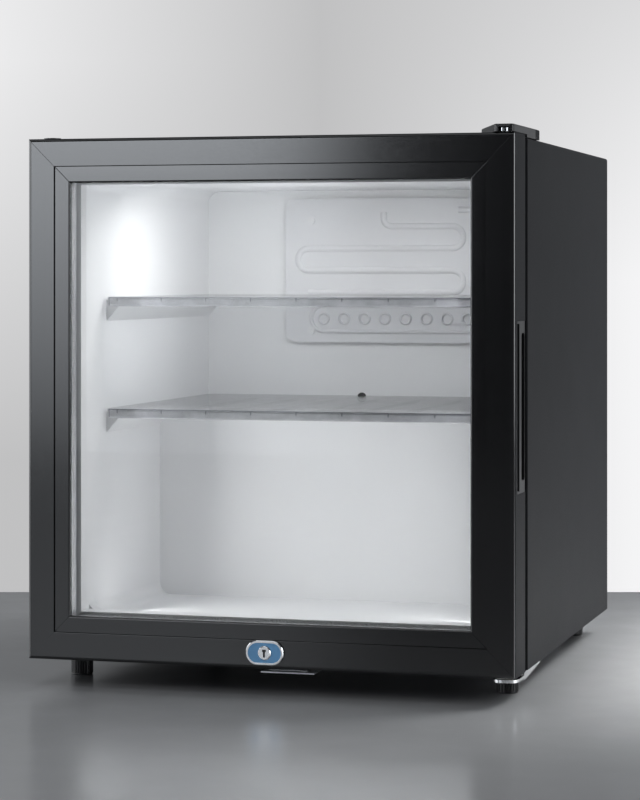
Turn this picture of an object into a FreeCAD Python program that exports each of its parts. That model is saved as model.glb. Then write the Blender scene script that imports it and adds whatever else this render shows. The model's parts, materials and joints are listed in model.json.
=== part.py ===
import FreeCAD, Part
import math
import os
import re
import Sketcher

# A counter-top fridge with a framed glass door, in millimetres, +Z up.
# The origin is on the floor, at the middle of the fridge's own box.  Every sub-part is drawn with Y
# measured back from the door's front face, and its Placement then moves it to the shared frame.

doc = FreeCAD.newDocument("MiniFridge")
sheet = doc.addObject("Spreadsheet::Sheet", "Dims")

DIMENSIONS = {
    # the whole fridge
    "Wide": 432, "CabinetTall": 451, "CabinetDeep": 416, "FloorGap": 23,
    "DoorTall": 453, "DoorThick": 46, "GasketGap": 8, "CapRise": 7, "LockProud": 3.5,
    # sheet metal and mouldings
    "Steel": 1, "LinerWall": 2, "WallThick": 35, "FlangeFold": 11, "EdgeRound": 2.5,
    "LinerFloor": 28, "LinerSill": 36, "LinerCeiling": 419, "LinerBack": 400, "LinerRound": 12,
    "HumpFront": 250, "HumpTop": 200, "DeckFront": 290, "DeckTop": 177,
    # door
    "FrameBand": 24, "FrameWide": 38.5, "FrameRound": 3.3, "RebateDeep": 27.3,
    "BeadStep": 1.8, "BeadBack": 6.2, "BeadChamfer": 1.2,
    "GlassFront": 6.3, "PaneThick": 4, "PaneGap": 12, "PaneInset": 26.2, "TrimWall": 0.9,
    "GasketInset": 22.5, "GasketWide": 12, "GasketBase": 2, "GasketLip": 2,
    "PullLow": 152, "PullHigh": 296, "PullDeep": 18, "PullFront": 9, "PullBack": 43,
    # hinges: the axis is in from the side and back from the door's front
    "HingeSide": 14, "HingeBack": 23, "PinRadius": 3, "PinFit": 0.05, "BushRadius": 6, "BushDeep": 13,
    "BracketThick": 2.5, "BracketLong": 115, "ScrewRadius": 2.5, "HeadRadius": 4.5, "HeadTall": 2.2,
    "PlugRim": 1.6,
    # lock: the height is above the door's bottom edge
    "LockUp": 13.8, "LockLong": 33.4, "LockTall": 21, "BarrelRadius": 8, "PlugRadius": 5.75,
    "CamReach": 28, "CamWide": 12, "CamThick": 2,
    # shelves
    "ShelfLow": 214, "ShelfHigh": 315, "ShelfFront": 94, "ShelfThick": 3, "ShelfLip": 8.6,
    "ShelfSide": 1.2, "LedgeWide": 14, "LedgeTall": 20,
    # feet
    "FootSide": 22, "FootBack": 75, "RearFootBack": 440, "FootRadius": 9.8, "FootTall": 15,
    "StudRadius": 4,
    # control box: the dial's height above the door's bottom edge
    "DialUp": 381, "RockerTall": 18.8, "RockerWide": 8, "RockerAt": 303, "RockerFace": 132.2,
    # cooling
    "PotRadius": 52, "PotX": -40, "PotY": 385, "TubeRadius": 2.4, "CoilX": 212.2,
}
for row, (alias, number) in enumerate(DIMENSIONS.items(), start=1):
    sheet.set(f"A{row}", str(number))
    sheet.setAlias(f"A{row}", alias)
doc.recompute()

# Planes of the fridge, as expressions of the sheet's cells.
FRONT = "(LockProud - DoorThick - GasketGap - CabinetDeep)/2"
SIDE = "(Wide/2)"
DOOR_LOW = "FloorGap"
DOOR_TOP = "(FloorGap + DoorTall)"
FACE = "(DoorThick + GasketGap)"
BACK = "(DoorThick + GasketGap + CabinetDeep)"
TOP = "(FloorGap + CabinetTall)"
HINGE_X = f"({SIDE} - HingeSide)"
OPENING = f"({SIDE} - WallThick)"
FOOT_X = f"({SIDE} - FootSide)"
LOCK_Z = "(FloorGap + LockUp)"
DIAL_Z = "(FloorGap + DialUp)"

nodes = {}
starts = {}


# ---------------------------------------------------------------- drawing helpers

def dims(text):
    """An expression in which each capitalised name is a cell of the sheet."""
    return re.sub(r"\b([A-Z]\w*)", r"Dims.\1", text)


def value(text):
    """The number that an expression has now."""
    return float(sheet.evalExpression(dims(text)))


def keep(thing, label):
    """Make an object the sub-part of this name and move it from the door's frame to the shared one."""
    start = starts.get(thing.Name, "0")
    thing.Label = label
    thing.setExpression("Placement.Base.y", dims(f"{FRONT} + ({start})"))
    nodes[label] = thing
    return thing


def block(x0, x1, y0, y1, z0, z1):
    """A box between two corners."""
    box = doc.addObject("Part::Box", "Block")
    for name, text in (("Length", f"({x1}) - ({x0})"), ("Width", f"({y1}) - ({y0})"),
                       ("Height", f"({z1}) - ({z0})"), ("Placement.Base.x", x0),
                       ("Placement.Base.y", y0), ("Placement.Base.z", z0)):
        box.setExpression(name, dims(text))
    starts[box.Name] = y0
    return box


TURNS = {
    "x": FreeCAD.Rotation(FreeCAD.Vector(0, 1, 0), 90),
    "y": FreeCAD.Rotation(FreeCAD.Vector(1, 0, 0), -90),
    "z": FreeCAD.Rotation(),
}


def rod(axis, x, y, z, radius, length):
    """A cylinder that starts at a point and runs along +X, +Y or +Z."""
    cylinder = doc.addObject("Part::Cylinder", "Rod")
    cylinder.Placement = FreeCAD.Placement(FreeCAD.Vector(), TURNS[axis])
    for name, text in (("Radius", radius), ("Height", length), ("Placement.Base.x", x),
                       ("Placement.Base.y", y), ("Placement.Base.z", z)):
        cylinder.setExpression(name, dims(text))
    starts[cylinder.Name] = y
    return cylinder


def join(*things):
    """One solid from several that touch."""
    fused = doc.addObject("Part::MultiFuse", "Join")
    fused.Shapes = list(things)
    fused.Refine = True
    return fused


def gather(*things):
    """Separate solids as one object."""
    compound = doc.addObject("Part::Compound", "Group")
    compound.Links = list(things)
    return compound


def cut(base, *tools):
    """A base with the tools taken away."""
    result = doc.addObject("Part::Cut", "Cut")
    result.Base = base
    result.Tool = tools[0] if len(tools) == 1 else gather(*tools)
    return result


def chosen(shape, test):
    """Numbers of the edges for which test(middle, length, direction) is true."""
    numbers = []
    for number, edge in enumerate(shape.Edges, start=1):
        first, last = edge.Vertexes[0].Point, edge.Vertexes[-1].Point
        if test(edge.CenterOfMass, edge.Length, last - first):
            numbers.append(number)
    return numbers


def along(direction, axis):
    """Whether a direction runs along one axis only."""
    return all(abs(part) < 0.01 for i, part in enumerate(direction) if i != axis)


def soften(base, radius, test):
    """Round chosen edges of a primitive or boolean."""
    doc.recompute()
    rounded = doc.addObject("Part::Fillet", "Rounded")
    rounded.Base = base
    size = value(radius)
    rounded.Edges = [(number, size, size) for number in chosen(base.Shape, test)]
    return rounded


class Solid:
    """A PartDesign body: every feature has a sketch on one of the body's own origin planes."""

    def __init__(self, label=None, x="0", y="0", z="0"):
        self.body = doc.addObject("PartDesign::Body", label or "Body")
        self.tip = None
        for name, text in (("x", x), ("y", y), ("z", z)):
            self.body.setExpression(f"Placement.Base.{name}", dims(text))
        starts[self.body.Name] = y
        if label:
            keep(self.body, label)

    def sketch(self, plane, offset="0"):
        """An empty sketch on an origin plane, moved along +X, +Y or +Z by the offset."""
        drawing = self.body.newObject("Sketcher::SketchObject", "Sketch")
        origin = next(item for item in self.body.Origin.OriginFeatures if item.Role == plane)
        drawing.AttachmentSupport = [(origin, "")]
        drawing.MapMode = "FlatFace"
        sign = "-" if plane == "XZ_Plane" else ""
        drawing.setExpression("AttachmentOffset.Base.z", dims(f"{sign}({offset})"))
        return drawing

    def pad(self, plane, start, length, *loops):
        """Add what the loops enclose, from start, in the plane's positive direction."""
        return self.feature("PartDesign::Pad", plane, start, length, loops, plane == "XZ_Plane")

    def pocket(self, plane, start, length, *loops):
        """Take away what the loops enclose, from start, in the plane's positive direction."""
        before = self.volume()
        feature = self.feature("PartDesign::Pocket", plane, start, length, loops, plane != "XZ_Plane")
        if self.volume() >= before:
            raise ValueError(f"a pocket in {self.body.Label} cuts nothing")
        return feature

    def feature(self, kind, plane, start, length, loops, turned):
        drawing = self.sketch(plane, start)
        for loop in loops:
            loop(drawing)
        feature = self.body.newObject(kind, "Feature")
        feature.Profile = drawing
        feature.setExpression("Length", dims(length))
        feature.Reversed = turned
        self.body.Tip = feature
        self.tip = feature
        return feature

    def revolve(self, *loops):
        """Turn a profile, drawn as radius and height, round the body's own Z axis."""
        drawing = self.sketch("XZ_Plane")
        for loop in loops:
            loop(drawing)
        feature = self.body.newObject("PartDesign::Revolution", "Turned")
        feature.Profile = drawing
        feature.ReferenceAxis = (drawing, ["V_Axis"])
        feature.Angle = 360
        self.body.Tip = feature
        self.tip = feature
        return feature

    def fillet(self, radius, test, kind="PartDesign::Fillet", name="Radius"):
        """Round the edges of the newest feature that pass the test."""
        doc.recompute()
        feature = self.body.newObject(kind, "Edges")
        feature.Base = (self.tip, [f"Edge{number}" for number in chosen(self.tip.Shape, test)])
        feature.setExpression(name, dims(radius))
        self.body.Tip = feature
        self.tip = feature

    def chamfer(self, size, test):
        """Bevel the edges of the newest feature that pass the test."""
        self.fillet(size, test, "PartDesign::Chamfer", "Size")

    def volume(self):
        doc.recompute()
        return self.tip.Shape.Volume


def loop_of(*points):
    """A closed outline through points, each corner tied to the sheet."""
    def draw(drawing):
        first = drawing.GeometryCount
        corners = [FreeCAD.Vector(value(across), value(up), 0) for across, up in points]
        for here, there in zip(corners, corners[1:] + corners[:1]):
            drawing.addGeometry(Part.LineSegment(here, there))
        for number, (across, up) in enumerate(points):
            following = first + (number + 1) % len(points)
            drawing.addConstraint(Sketcher.Constraint("Coincident", first + number, 2, following, 1))
            tie(drawing, "DistanceX", first + number, 1, across)
            tie(drawing, "DistanceY", first + number, 1, up)
    return draw


def tie(drawing, kind, geometry, point, text):
    """Hold a point at a distance from the sketch's origin that the sheet sets."""
    constraint = Sketcher.Constraint(kind, -1, 1, geometry, point, value(text))
    number = drawing.addConstraint(constraint)
    drawing.setExpression(f"Constraints[{number}]", dims(text))


def rectangle(x0, x1, y0, y1):
    """A rectangle between two corners."""
    return loop_of((x0, y0), (x1, y0), (x1, y1), (x0, y1))


def rounded_rectangle(x0, x1, y0, y1, radius):
    """A rectangle between two corners, its own corners rounded by tangent arcs."""
    def draw(drawing):
        left, right, low, high, bend = (value(text) for text in (x0, x1, y0, y1, radius))
        first = drawing.GeometryCount
        lines = [((left + bend, low), (right - bend, low)), ((right, low + bend), (right, high - bend)),
                 ((right - bend, high), (left + bend, high)), ((left, high - bend), (left, low + bend))]
        for start, end in lines:
            drawing.addGeometry(Part.LineSegment(FreeCAD.Vector(*start, 0), FreeCAD.Vector(*end, 0)))
        centres = [(right - bend, low + bend), (right - bend, high - bend), (left + bend, high - bend),
                   (left + bend, low + bend)]
        for quarter, centre in enumerate(centres):
            round_part = Part.Circle(FreeCAD.Vector(*centre, 0), FreeCAD.Vector(0, 0, 1), bend)
            turn = math.pi / 2 * (quarter - 1)
            drawing.addGeometry(Part.ArcOfCircle(round_part, turn, turn + math.pi / 2))
        for number in range(4):
            line, arc, following = first + number, first + 4 + number, first + (number + 1) % 4
            drawing.addConstraint(Sketcher.Constraint("Horizontal" if number % 2 == 0 else "Vertical", line))
            drawing.addConstraint(Sketcher.Constraint("Tangent", line, 2, arc, 1))
            drawing.addConstraint(Sketcher.Constraint("Tangent", arc, 2, following, 1))
        for arc in range(first + 5, first + 8):
            drawing.addConstraint(Sketcher.Constraint("Equal", first + 4, arc))
        size = drawing.addConstraint(Sketcher.Constraint("Radius", first + 4, bend))
        drawing.setExpression(f"Constraints[{size}]", dims(radius))
        tie(drawing, "DistanceY", first, 1, y0)
        tie(drawing, "DistanceX", first + 1, 1, x1)
        tie(drawing, "DistanceY", first + 2, 1, y1)
        tie(drawing, "DistanceX", first + 3, 1, x0)
    return draw


def circle(x, y, radius):
    """A circle, its centre and radius tied to the sheet."""
    def draw(drawing):
        centre = FreeCAD.Vector(value(x), value(y), 0)
        number = drawing.addGeometry(Part.Circle(centre, FreeCAD.Vector(0, 0, 1), value(radius)))
        tie(drawing, "DistanceX", number, 3, x)
        tie(drawing, "DistanceY", number, 3, y)
        size = drawing.addConstraint(Sketcher.Constraint("Radius", number, value(radius)))
        drawing.setExpression(f"Constraints[{size}]", dims(radius))
    return draw


def frame_side(side, outer, inner):
    """A mitred strip of the door's frame, between two insets from the door's edge."""
    left, right = f"-{SIDE}", SIDE
    corners = {
        "top": ((left, outer, DOOR_TOP, outer), (right, outer, DOOR_TOP, outer)),
        "bottom": ((left, outer, DOOR_LOW, outer), (right, outer, DOOR_LOW, outer)),
        "left": ((left, outer, DOOR_LOW, outer), (left, outer, DOOR_TOP, outer)),
        "right": ((right, outer, DOOR_LOW, outer), (right, outer, DOOR_TOP, outer)),
    }[side]

    def point(corner, inset):
        x_sign = "+" if corner[0] == left else "-"
        z_sign = "+" if corner[2] == DOOR_LOW else "-"
        return (f"{corner[0]} {x_sign} ({inset})", f"{corner[2]} {z_sign} ({inset})")

    first, last = corners
    return loop_of(point(first, outer), point(last, outer), point(last, inner), point(first, inner))


def bent_tube(points, radius, bend):
    """A round tube along straight runs, joined by arcs of the bend radius."""
    corners = [FreeCAD.Vector(*(value(part) for part in point)) for point in points]
    edges = []
    here = corners[0]
    for before, corner, after in zip(corners, corners[1:], corners[2:]):
        back = (before - corner).normalize()
        onward = (after - corner).normalize()
        half = back.getAngle(onward) / 2
        reach = bend / math.tan(half)
        start = corner + back * reach
        end = corner + onward * reach
        centre = corner + (back + onward).normalize() * (bend / math.sin(half))
        middle = centre + (corner - centre).normalize() * bend
        edges += [Part.LineSegment(here, start).toShape(), Part.Arc(start, middle, end).toShape()]
        here = end
    edges.append(Part.LineSegment(here, corners[-1]).toShape())
    path = Part.Wire(edges)
    ring = Part.Wire([Part.Circle(corners[0], corners[1] - corners[0], radius).toShape()])
    tube = path.makePipeShell([ring], True, False)
    expected = math.pi * radius ** 2 * path.Length
    if abs(tube.Volume / expected - 1) > 0.02:
        raise ValueError("a bent tube has the wrong volume")
    return tube


def shaped(label, shape):
    """A sub-part whose shape comes straight from Part's functions."""
    feature = doc.addObject("Part::Feature", label)
    feature.Shape = shape
    return keep(feature, label)


# ---------------------------------------------------------------- cabinet

def cabinet_shell():
    """The wrapper: two sides and a top in one bent sheet, with its front edge folded inwards."""
    shell = Solid("cabinet_shell")
    shell.pad("XZ_Plane", FACE, "CabinetDeep", rectangle(f"-{SIDE}", SIDE, "FloorGap", TOP))
    shell.fillet("EdgeRound", lambda m, n, d: along(d, 1) and m.z > value(TOP) - 1)
    shell.fillet("EdgeRound/2", lambda m, n, d: m.y < value(FACE) + 0.01 and m.z > value("FloorGap") + 1)
    shell.pocket("XZ_Plane", f"{FACE} + Steel", "CabinetDeep",
                 rectangle(f"Steel - {SIDE}", f"{SIDE} - Steel", "FloorGap - 1", f"{TOP} - Steel"))
    shell.pocket("XZ_Plane", f"{FACE} - 1", "Steel + 2",
                 rectangle(f"FlangeFold - {SIDE}", f"{SIDE} - FlangeFold", "FloorGap - 1",
                           f"{TOP} - FlangeFold"))


def rear_panel():
    """The flat back above the machine space, with a pressed field that stiffens it."""
    low = "FloorGap + DeckTop"
    panel = Solid("rear_panel")
    panel.pad("XZ_Plane", f"{BACK} - 2.5", "Steel",
              rectangle(f"1.2 - {SIDE}", f"{SIDE} - 1.2", low, f"{TOP} - 1.2"))
    panel.pad("XZ_Plane", f"{BACK} - 2", "2", rectangle("-170", "170", f"{low} + 40", f"{TOP} - 40"))
    panel.pocket("XZ_Plane", f"{BACK} - 3", "2",
                 rectangle("-168.8", "168.8", f"{low} + 41.2", f"{TOP} - 41.2"))


def machine_deck():
    """The bent sheet that closes the machine space off from the foam."""
    low, high, width = "FloorGap + Steel + 0.2", "FloorGap + DeckTop - 0.2", f"({SIDE} - 7.5)"
    deck = Solid("machine_deck")
    deck.pad("YZ_Plane", f"-{width}", f"2*{width}",
             loop_of(("DeckFront", low), ("DeckFront + Steel", low),
                     ("DeckFront + Steel", f"{high} - Steel"), (f"{BACK} - 2.7", f"{high} - Steel"),
                     (f"{BACK} - 2.7", high), ("DeckFront", high)))
    deck.fillet("5", lambda m, n, d: along(d, 0) and n > 100 and m.z > value(high) - 2
                and m.y < value("DeckFront") + 2)
    deck.pocket("XY_Plane", f"{high} - 5", "8", circle("60", "430", "5"), circle("90", "430", "3"),
                circle("-20", "440", "6"))


def base_pan():
    """The bottom tray, its front edge turned up into the cabinet's face."""
    pan = Solid("base_pan")
    pan.pad("XY_Plane", "FloorGap", "Steel",
            rectangle(f"1.2 - {SIDE}", f"{SIDE} - 1.2", f"{FACE} + 1.2", f"{BACK} - 1.2"))
    pan.pad("XZ_Plane", FACE, "Steel + 0.3",
            rectangle(f"FlangeFold + 0.2 - {SIDE}", f"{SIDE} - FlangeFold - 0.2",
                      "FloorGap", "FloorGap + 12"))
    pan.pad("XZ_Plane", f"{BACK} - 2.2", "Steel",
            rectangle(f"8 - {SIDE}", f"{SIDE} - 8", "FloorGap", "FloorGap + 30"))
    holes = [circle(f"{sign}{FOOT_X}", "FootBack", "StudRadius + 0.4") for sign in "-+"]
    holes += [circle(f"{x}", y, "ScrewRadius + 0.1") for x, y in bottom_screw_places(both=True)]
    pan.pocket("XY_Plane", "FloorGap - 1", "3", *holes)
    pan.pocket("XZ_Plane", f"{BACK} - 4", "4", circle("130", "FloorGap + 15", "7"))


def inner_liner():
    """The moulded tub: a stepped back clears the machine space, and ledges carry the shelves."""
    liner = Solid("inner_liner")
    floor, ceiling = "(FloorGap + LinerFloor)", "(FloorGap + LinerCeiling)"
    hump, sill = "(FloorGap + HumpTop)", "(FloorGap + LinerSill)"
    wall, bend = "LinerWall", "LinerRound + LinerWall"
    width = f"({OPENING} + {wall})"
    liner.pad("XZ_Plane", FACE, f"HumpFront + {wall} - {FACE}",
              rounded_rectangle(f"-{width}", width, f"{floor} - {wall}", f"{ceiling} + {wall}", bend))
    liner.pad("XZ_Plane", "HumpFront", f"LinerBack + {wall} - HumpFront",
              rounded_rectangle(f"-{width}", width, f"{hump} - {wall}", f"{ceiling} + {wall}", bend))
    liner.pad("XZ_Plane", FACE, "1.6",
              rectangle(f"FlangeFold + 0.2 - {SIDE}", f"{SIDE} - FlangeFold - 0.2", "FloorGap + 12.2",
                        f"{TOP} - FlangeFold - 0.2"))
    for start, end, low in ((f"{FACE} - 1", f"{FACE} + 15", sill), (f"{FACE} + 14", "HumpFront", floor),
                            ("HumpFront - 1", "LinerBack", hump)):
        liner.pocket("XZ_Plane", start, f"{end} - ({start})",
                     rounded_rectangle(f"-{OPENING}", OPENING, low, ceiling, "LinerRound"))
    for level, end in (("ShelfLow", "HumpFront"), ("ShelfHigh", "LinerBack")):
        top = f"(FloorGap + {level} - ShelfThick - 0.3)"
        for sign in ("-", ""):
            liner.pad("XZ_Plane", "ShelfFront + 8", f"{end} - ShelfFront - 7",
                      loop_of((f"{sign}({OPENING} + 1)", f"{top} - LedgeTall"),
                              (f"{sign}({OPENING} + 1)", top),
                              (f"{sign}({OPENING} - LedgeWide)", top),
                              (f"{sign}({OPENING} - LedgeWide)", f"{top} - 3")))
    liner.pocket("XZ_Plane", "LinerBack - 2", "10", circle("60", "300", "4"), circle("90", "310", "2.5"))
    liner.pocket("XZ_Plane", "LinerBack - 2", "10", circle("-20", "FloorGap + HumpTop + 12", "5"))


def foam_insulation():
    """The foam between the wrapper and the liner."""
    width = f"({SIDE} - 6.5)"
    edge = Solid()
    edge.pad("YZ_Plane", f"-{width}", f"2*{width}",
             loop_of((f"{FACE} + 1.8", "FloorGap + 1.2"), ("DeckFront - 0.2", "FloorGap + 1.2"),
                     ("DeckFront - 0.2", "FloorGap + DeckTop"), (f"{BACK} - 2.7", "FloorGap + DeckTop"),
                     (f"{BACK} - 2.7", f"{TOP} - 1.2"), (f"{FACE} + 1.8", f"{TOP} - 1.2")))
    tub = Solid()
    inner = f"({OPENING} + LinerWall + 0.2)"
    out = "(LinerWall + 0.2)"
    tub.pad("YZ_Plane", f"-{inner}", f"2*{inner}",
            loop_of((f"{FACE} - 5", f"FloorGap + LinerFloor - {out}"),
                    (f"HumpFront + {out}", f"FloorGap + LinerFloor - {out}"),
                    (f"HumpFront + {out}", f"FloorGap + HumpTop - {out}"),
                    (f"LinerBack + {out}", f"FloorGap + HumpTop - {out}"),
                    (f"LinerBack + {out}", f"FloorGap + LinerCeiling + {out}"),
                    (f"{FACE} - 5", f"FloorGap + LinerCeiling + {out}")))
    channel = block("50", "100", "LinerBack", "440", "FloorGap + DeckTop - 1", "320")
    drain = block("-30", "-10", "LinerBack", "452", "FloorGap + DeckTop - 1", "FloorGap + HumpTop + 24")
    pockets = []
    for sign in ("-1", "1"):
        middle = f"({sign}*({SIDE} - 26))"
        pockets.append(block(f"{middle} - 19", f"{middle} + 19", f"{FACE} + 1", f"{FACE} + 61",
                             f"{TOP} - 6", f"{TOP}"))
        pockets.append(block(f"{middle} - 19", f"{middle} + 19", f"{FACE} + 1", f"{FACE} + 61",
                             "FloorGap", "FloorGap + 16"))
    keep(cut(edge.body, tub.body, channel, drain, *pockets), "foam_insulation")


def evaporator_plate():
    """The roll-bonded plate on the back wall."""
    plate = Solid("evaporator_plate")
    plate.pad("XZ_Plane", "LinerBack - 5", "1.5", rectangle("-98", "112", "290", "434"))
    plate.fillet("12", lambda m, n, d: along(d, 1))
    plate.pocket("XZ_Plane", "LinerBack - 6", "4", *[circle(x, z, "2.1") for x, z in evaporator_corners()])


def evaporator_corners():
    """Where the four screws of the evaporator plate stand."""
    return [(x, z) for x in ("-71", "100") for z in ("302", "412")]


def evaporator_screws():
    """Four screws, each with the plastic spacer that holds the plate off the wall."""
    screws = []
    for x, z in evaporator_corners():
        head = rod("y", x, "LinerBack - 7.2", z, "4", "2.2")
        shank = rod("y", x, "LinerBack - 5.5", z, "2", "5.5")
        spacer = rod("y", x, "LinerBack - 3.5", z, "5", "3.5")
        screws.append(join(head, shank, spacer))
    keep(gather(*screws), "evaporator_screws")


def control_housing():
    """The moulded box on the right wall that holds the thermostat and the lamp."""
    wall = f"({OPENING} - 0.2)"
    body = block("135", wall, "250", "350", "376", "428")
    rounded = soften(body, "4", lambda m, n, d: m.x < 136 and n > 30)
    hollow = block("137", f"{wall} + 1", "252", "348", "378", "426")
    dial_hole = rod("x", "130", "280", DIAL_Z, "4.5", "10")
    switch_hole = block("130", "140", "302", "312", f"{DIAL_Z} - 10", f"{DIAL_Z} + 10")
    lamp_hole = block("130", "140", "318", "342", f"{DIAL_Z} - 18", f"{DIAL_Z} + 18")
    keep(cut(rounded, hollow, dial_hole, switch_hole, lamp_hole), "control_housing")


def thermostat_body():
    """The thermostat behind the dial: a metal box with a bushing that carries the shaft."""
    case = block("141", "172", "266", "294", f"{DIAL_Z} - 16", f"{DIAL_Z} + 16")
    neck = rod("x", "137.2", "280", DIAL_Z, "6.5", "4")
    bore = rod("x", "130", "280", DIAL_Z, "3.05", "22")
    keep(cut(join(case, neck), bore), "thermostat_body")


def lamp_lens():
    """The frosted window over the lamp."""
    keep(soften(block("133", "138.5", "318.2", "341.8", f"{DIAL_Z} - 17.8", f"{DIAL_Z} + 17.8"), "1.5",
                lambda m, n, d: m.x < 134), "lamp_lens")


def hinge_pads():
    """Threaded plates inside the cabinet's four front corners, under the hinges and the feet."""
    pads = []
    for sign in ("-1", "1"):
        middle = f"({sign}*({SIDE} - 26))"
        for low, places in ((f"{TOP} - Steel - 3", top_screw_places(sign)), ("FloorGap + Steel",
                                                                          bottom_screw_places(sign))):
            plate = block(f"{middle} - 18", f"{middle} + 18", f"{FACE} + 4", f"{FACE} + 58",
                          low, f"{low} + 3")
            holes = [rod("z", x, y, f"{low} - 1", "ScrewRadius + 0.02", "6") for x, y in places]
            if low.startswith("Floor"):
                holes.append(rod("z", f"{sign}*{FOOT_X}", "FootBack", f"{low} - 1", "StudRadius + 0.4", "6"))
            pads.append(cut(plate, *holes))
    keep(gather(*pads), "hinge_pads")


def top_screw_places(sign="1"):
    """Centres of the upper hinge's screws on one side."""
    return [(f"{sign}*({SIDE} - 34)", f"{FACE} + 16"), (f"{sign}*({SIDE} - 14)", f"{FACE} + 16"),
            (f"{sign}*({SIDE} - 24)", f"{FACE} + 40")]


def bottom_screw_places(sign="1", both=False):
    """Centres of the lower hinge's screws, clear of the levelling foot."""
    sides = ("-1", "1") if both else (sign,)
    return [(f"{side}*({SIDE} - {x})", f"{FACE} + {y}") for side in sides
            for x, y in ((38, 12), (38, 48), (14, 48))]


def top_hinge_bracket():
    """The stepped steel arm that holds the upper pin over the door."""
    rear, over, thick = TOP, f"({DOOR_TOP} + 0.8)", "BracketThick"
    step = f"({FACE} + 5)"
    arm = Solid("top_hinge_bracket")
    arm.pad("YZ_Plane", f"{SIDE} - 42", "38",
            loop_of(("HingeBack - 8", over), (step, over), (step, rear), (f"{FACE} + 48", rear),
                    (f"{FACE} + 48", f"{rear} + {thick}"), (f"{step} + {thick}", f"{rear} + {thick}"),
                    (f"{step} + {thick}", f"{over} + {thick}"), ("HingeBack - 8", f"{over} + {thick}")))
    arm.pocket("XY_Plane", f"{rear} - 1", "12",
               loop_of((f"{SIDE} - 43", "HingeBack - 9"), (f"{HINGE_X} - 8", "HingeBack - 9"),
                       (f"{HINGE_X} - 8", "HingeBack + 6"), (f"{SIDE} - 35", step), (f"{SIDE} - 39.5", "74"),
                       (f"{SIDE} - 39.5", f"{FACE} + 49"), (f"{SIDE} - 43", f"{FACE} + 49")))
    arm.fillet("7.5", lambda m, n, d: along(d, 2) and m.y < value("HingeBack") - 7)
    arm.pad("XY_Plane", f"{DOOR_TOP} - BushDeep + 1", "BushDeep + 1",
            circle(HINGE_X, "HingeBack", "PinRadius"))
    arm.pocket("XY_Plane", f"{rear} - 1", "12",
               *[circle(x, y, "ScrewRadius + 0.2") for x, y in top_screw_places()])


def top_hinge_cover():
    """The black cap over the upper hinge, hollow underneath and open towards the door."""
    high = f"({DOOR_TOP} + CapRise)"
    tip = f"({SIDE} - 1.5)"
    cap = Solid("top_hinge_cover")
    cap.pad("XY_Plane", f"{TOP} + 0.2", f"{high} - {TOP} - 0.2",
            loop_of((tip, "0.3"), (f"{SIDE} - 17.5", "0.3"), (f"{SIDE} - 44", "73"),
                    (f"{SIDE} - 44", "107"), (SIDE, "107"), (SIDE, "89")))
    cap.fillet("3", lambda m, n, d: along(d, 2) and m.y < 100)
    cap.pocket("XY_Plane", f"{TOP} - 1", f"{high} - {TOP} - 0.6",
               loop_of((f"{tip} - 2", "3"), (f"{SIDE} - 15.5", "3"), (f"{SIDE} - 42", "74"),
                       (f"{SIDE} - 42", "105"), (f"{SIDE} - 2", "105"), (f"{SIDE} - 2", "89")))
    cap.pocket("XY_Plane", f"{TOP} - 1", f"{DOOR_TOP} - {TOP} + 1.7",
               rectangle(f"{SIDE} - 60", f"{SIDE} + 5", "-2", FACE))
    cap.pocket("XZ_Plane", "-1", "6",
               rectangle(f"{SIDE} - 14.5", f"{SIDE} - 4.5", f"{TOP} - 1", f"{high} - 2.4"))
    cap.chamfer("0.8", lambda m, n, d: m.z > value(high) - 0.01 and m.y < 106.5)


def bottom_hinge_bracket():
    """The stepped plate under the cabinet: a round tongue holds the lower pin, a flange the side."""
    rear, tongue, thick = "(FloorGap - 0.1 - BracketThick)", "(FloorGap - 5.5)", "BracketThick"
    step = f"({FACE} - 2)"
    plate = Solid("bottom_hinge_bracket")
    plate.pad("YZ_Plane", f"{SIDE} - 46", "45",
              loop_of(("HingeBack - 9.5", tongue), (f"{step} + {thick}", tongue),
                      (f"{step} + {thick}", rear), ("BracketLong", rear),
                      ("BracketLong", f"{rear} + {thick}"), (step, f"{rear} + {thick}"),
                      (step, f"{tongue} + {thick}"), ("HingeBack - 9.5", f"{tongue} + {thick}")))
    plate.pocket("XY_Plane", f"{tongue} - 1", "12",
                 loop_of((f"{SIDE} - 47", "HingeBack - 10"), (f"{HINGE_X} - 9.5", "HingeBack - 10"),
                         (f"{HINGE_X} - 9.5", "HingeBack + 4"), (f"{SIDE} - 34", step),
                         (f"{SIDE} - 47", step)))
    plate.fillet("9", lambda m, n, d: along(d, 2) and m.y < value("HingeBack") - 8)
    plate.pad("YZ_Plane", f"{SIDE} - 3.5", "2.5",
              loop_of((f"{FACE} - 10", "FloorGap - 0.4"), (f"{FACE} - 10", "FloorGap - 7.5"),
                      (f"{FACE} + 53", "FloorGap - 2.6"), (f"{FACE} + 53", "FloorGap - 0.4")))
    plate.pad("XY_Plane", f"{tongue} + {thick} - 0.5", "BushDeep + 2",
              circle(HINGE_X, "HingeBack", "PinRadius"))
    holes = [circle(x, y, "ScrewRadius + 0.2") for x, y in bottom_screw_places()]
    holes.append(circle(FOOT_X, "FootBack", "StudRadius + 1"))
    plate.pocket("XY_Plane", f"{rear} - 1", "5", *holes)


def screw(x, y, seat, up):
    """A pan-head screw: its head rests on the seat, on the outside of the sheet."""
    if up:
        head = rod("z", x, y, seat, "HeadRadius", "HeadTall")
        shank = rod("z", x, y, f"{seat} - 6.5", "ScrewRadius", "7")
    else:
        head = rod("z", x, y, f"{seat} - HeadTall", "HeadRadius", "HeadTall")
        shank = rod("z", x, y, f"{seat} - 0.5", "ScrewRadius", "7")
    rounded = soften(head, "1", lambda m, n, d: abs(m.z - value(f"{seat} + HeadTall" if up else
                                                                f"{seat} - HeadTall")) < 0.01)
    return join(rounded, shank)


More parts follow.
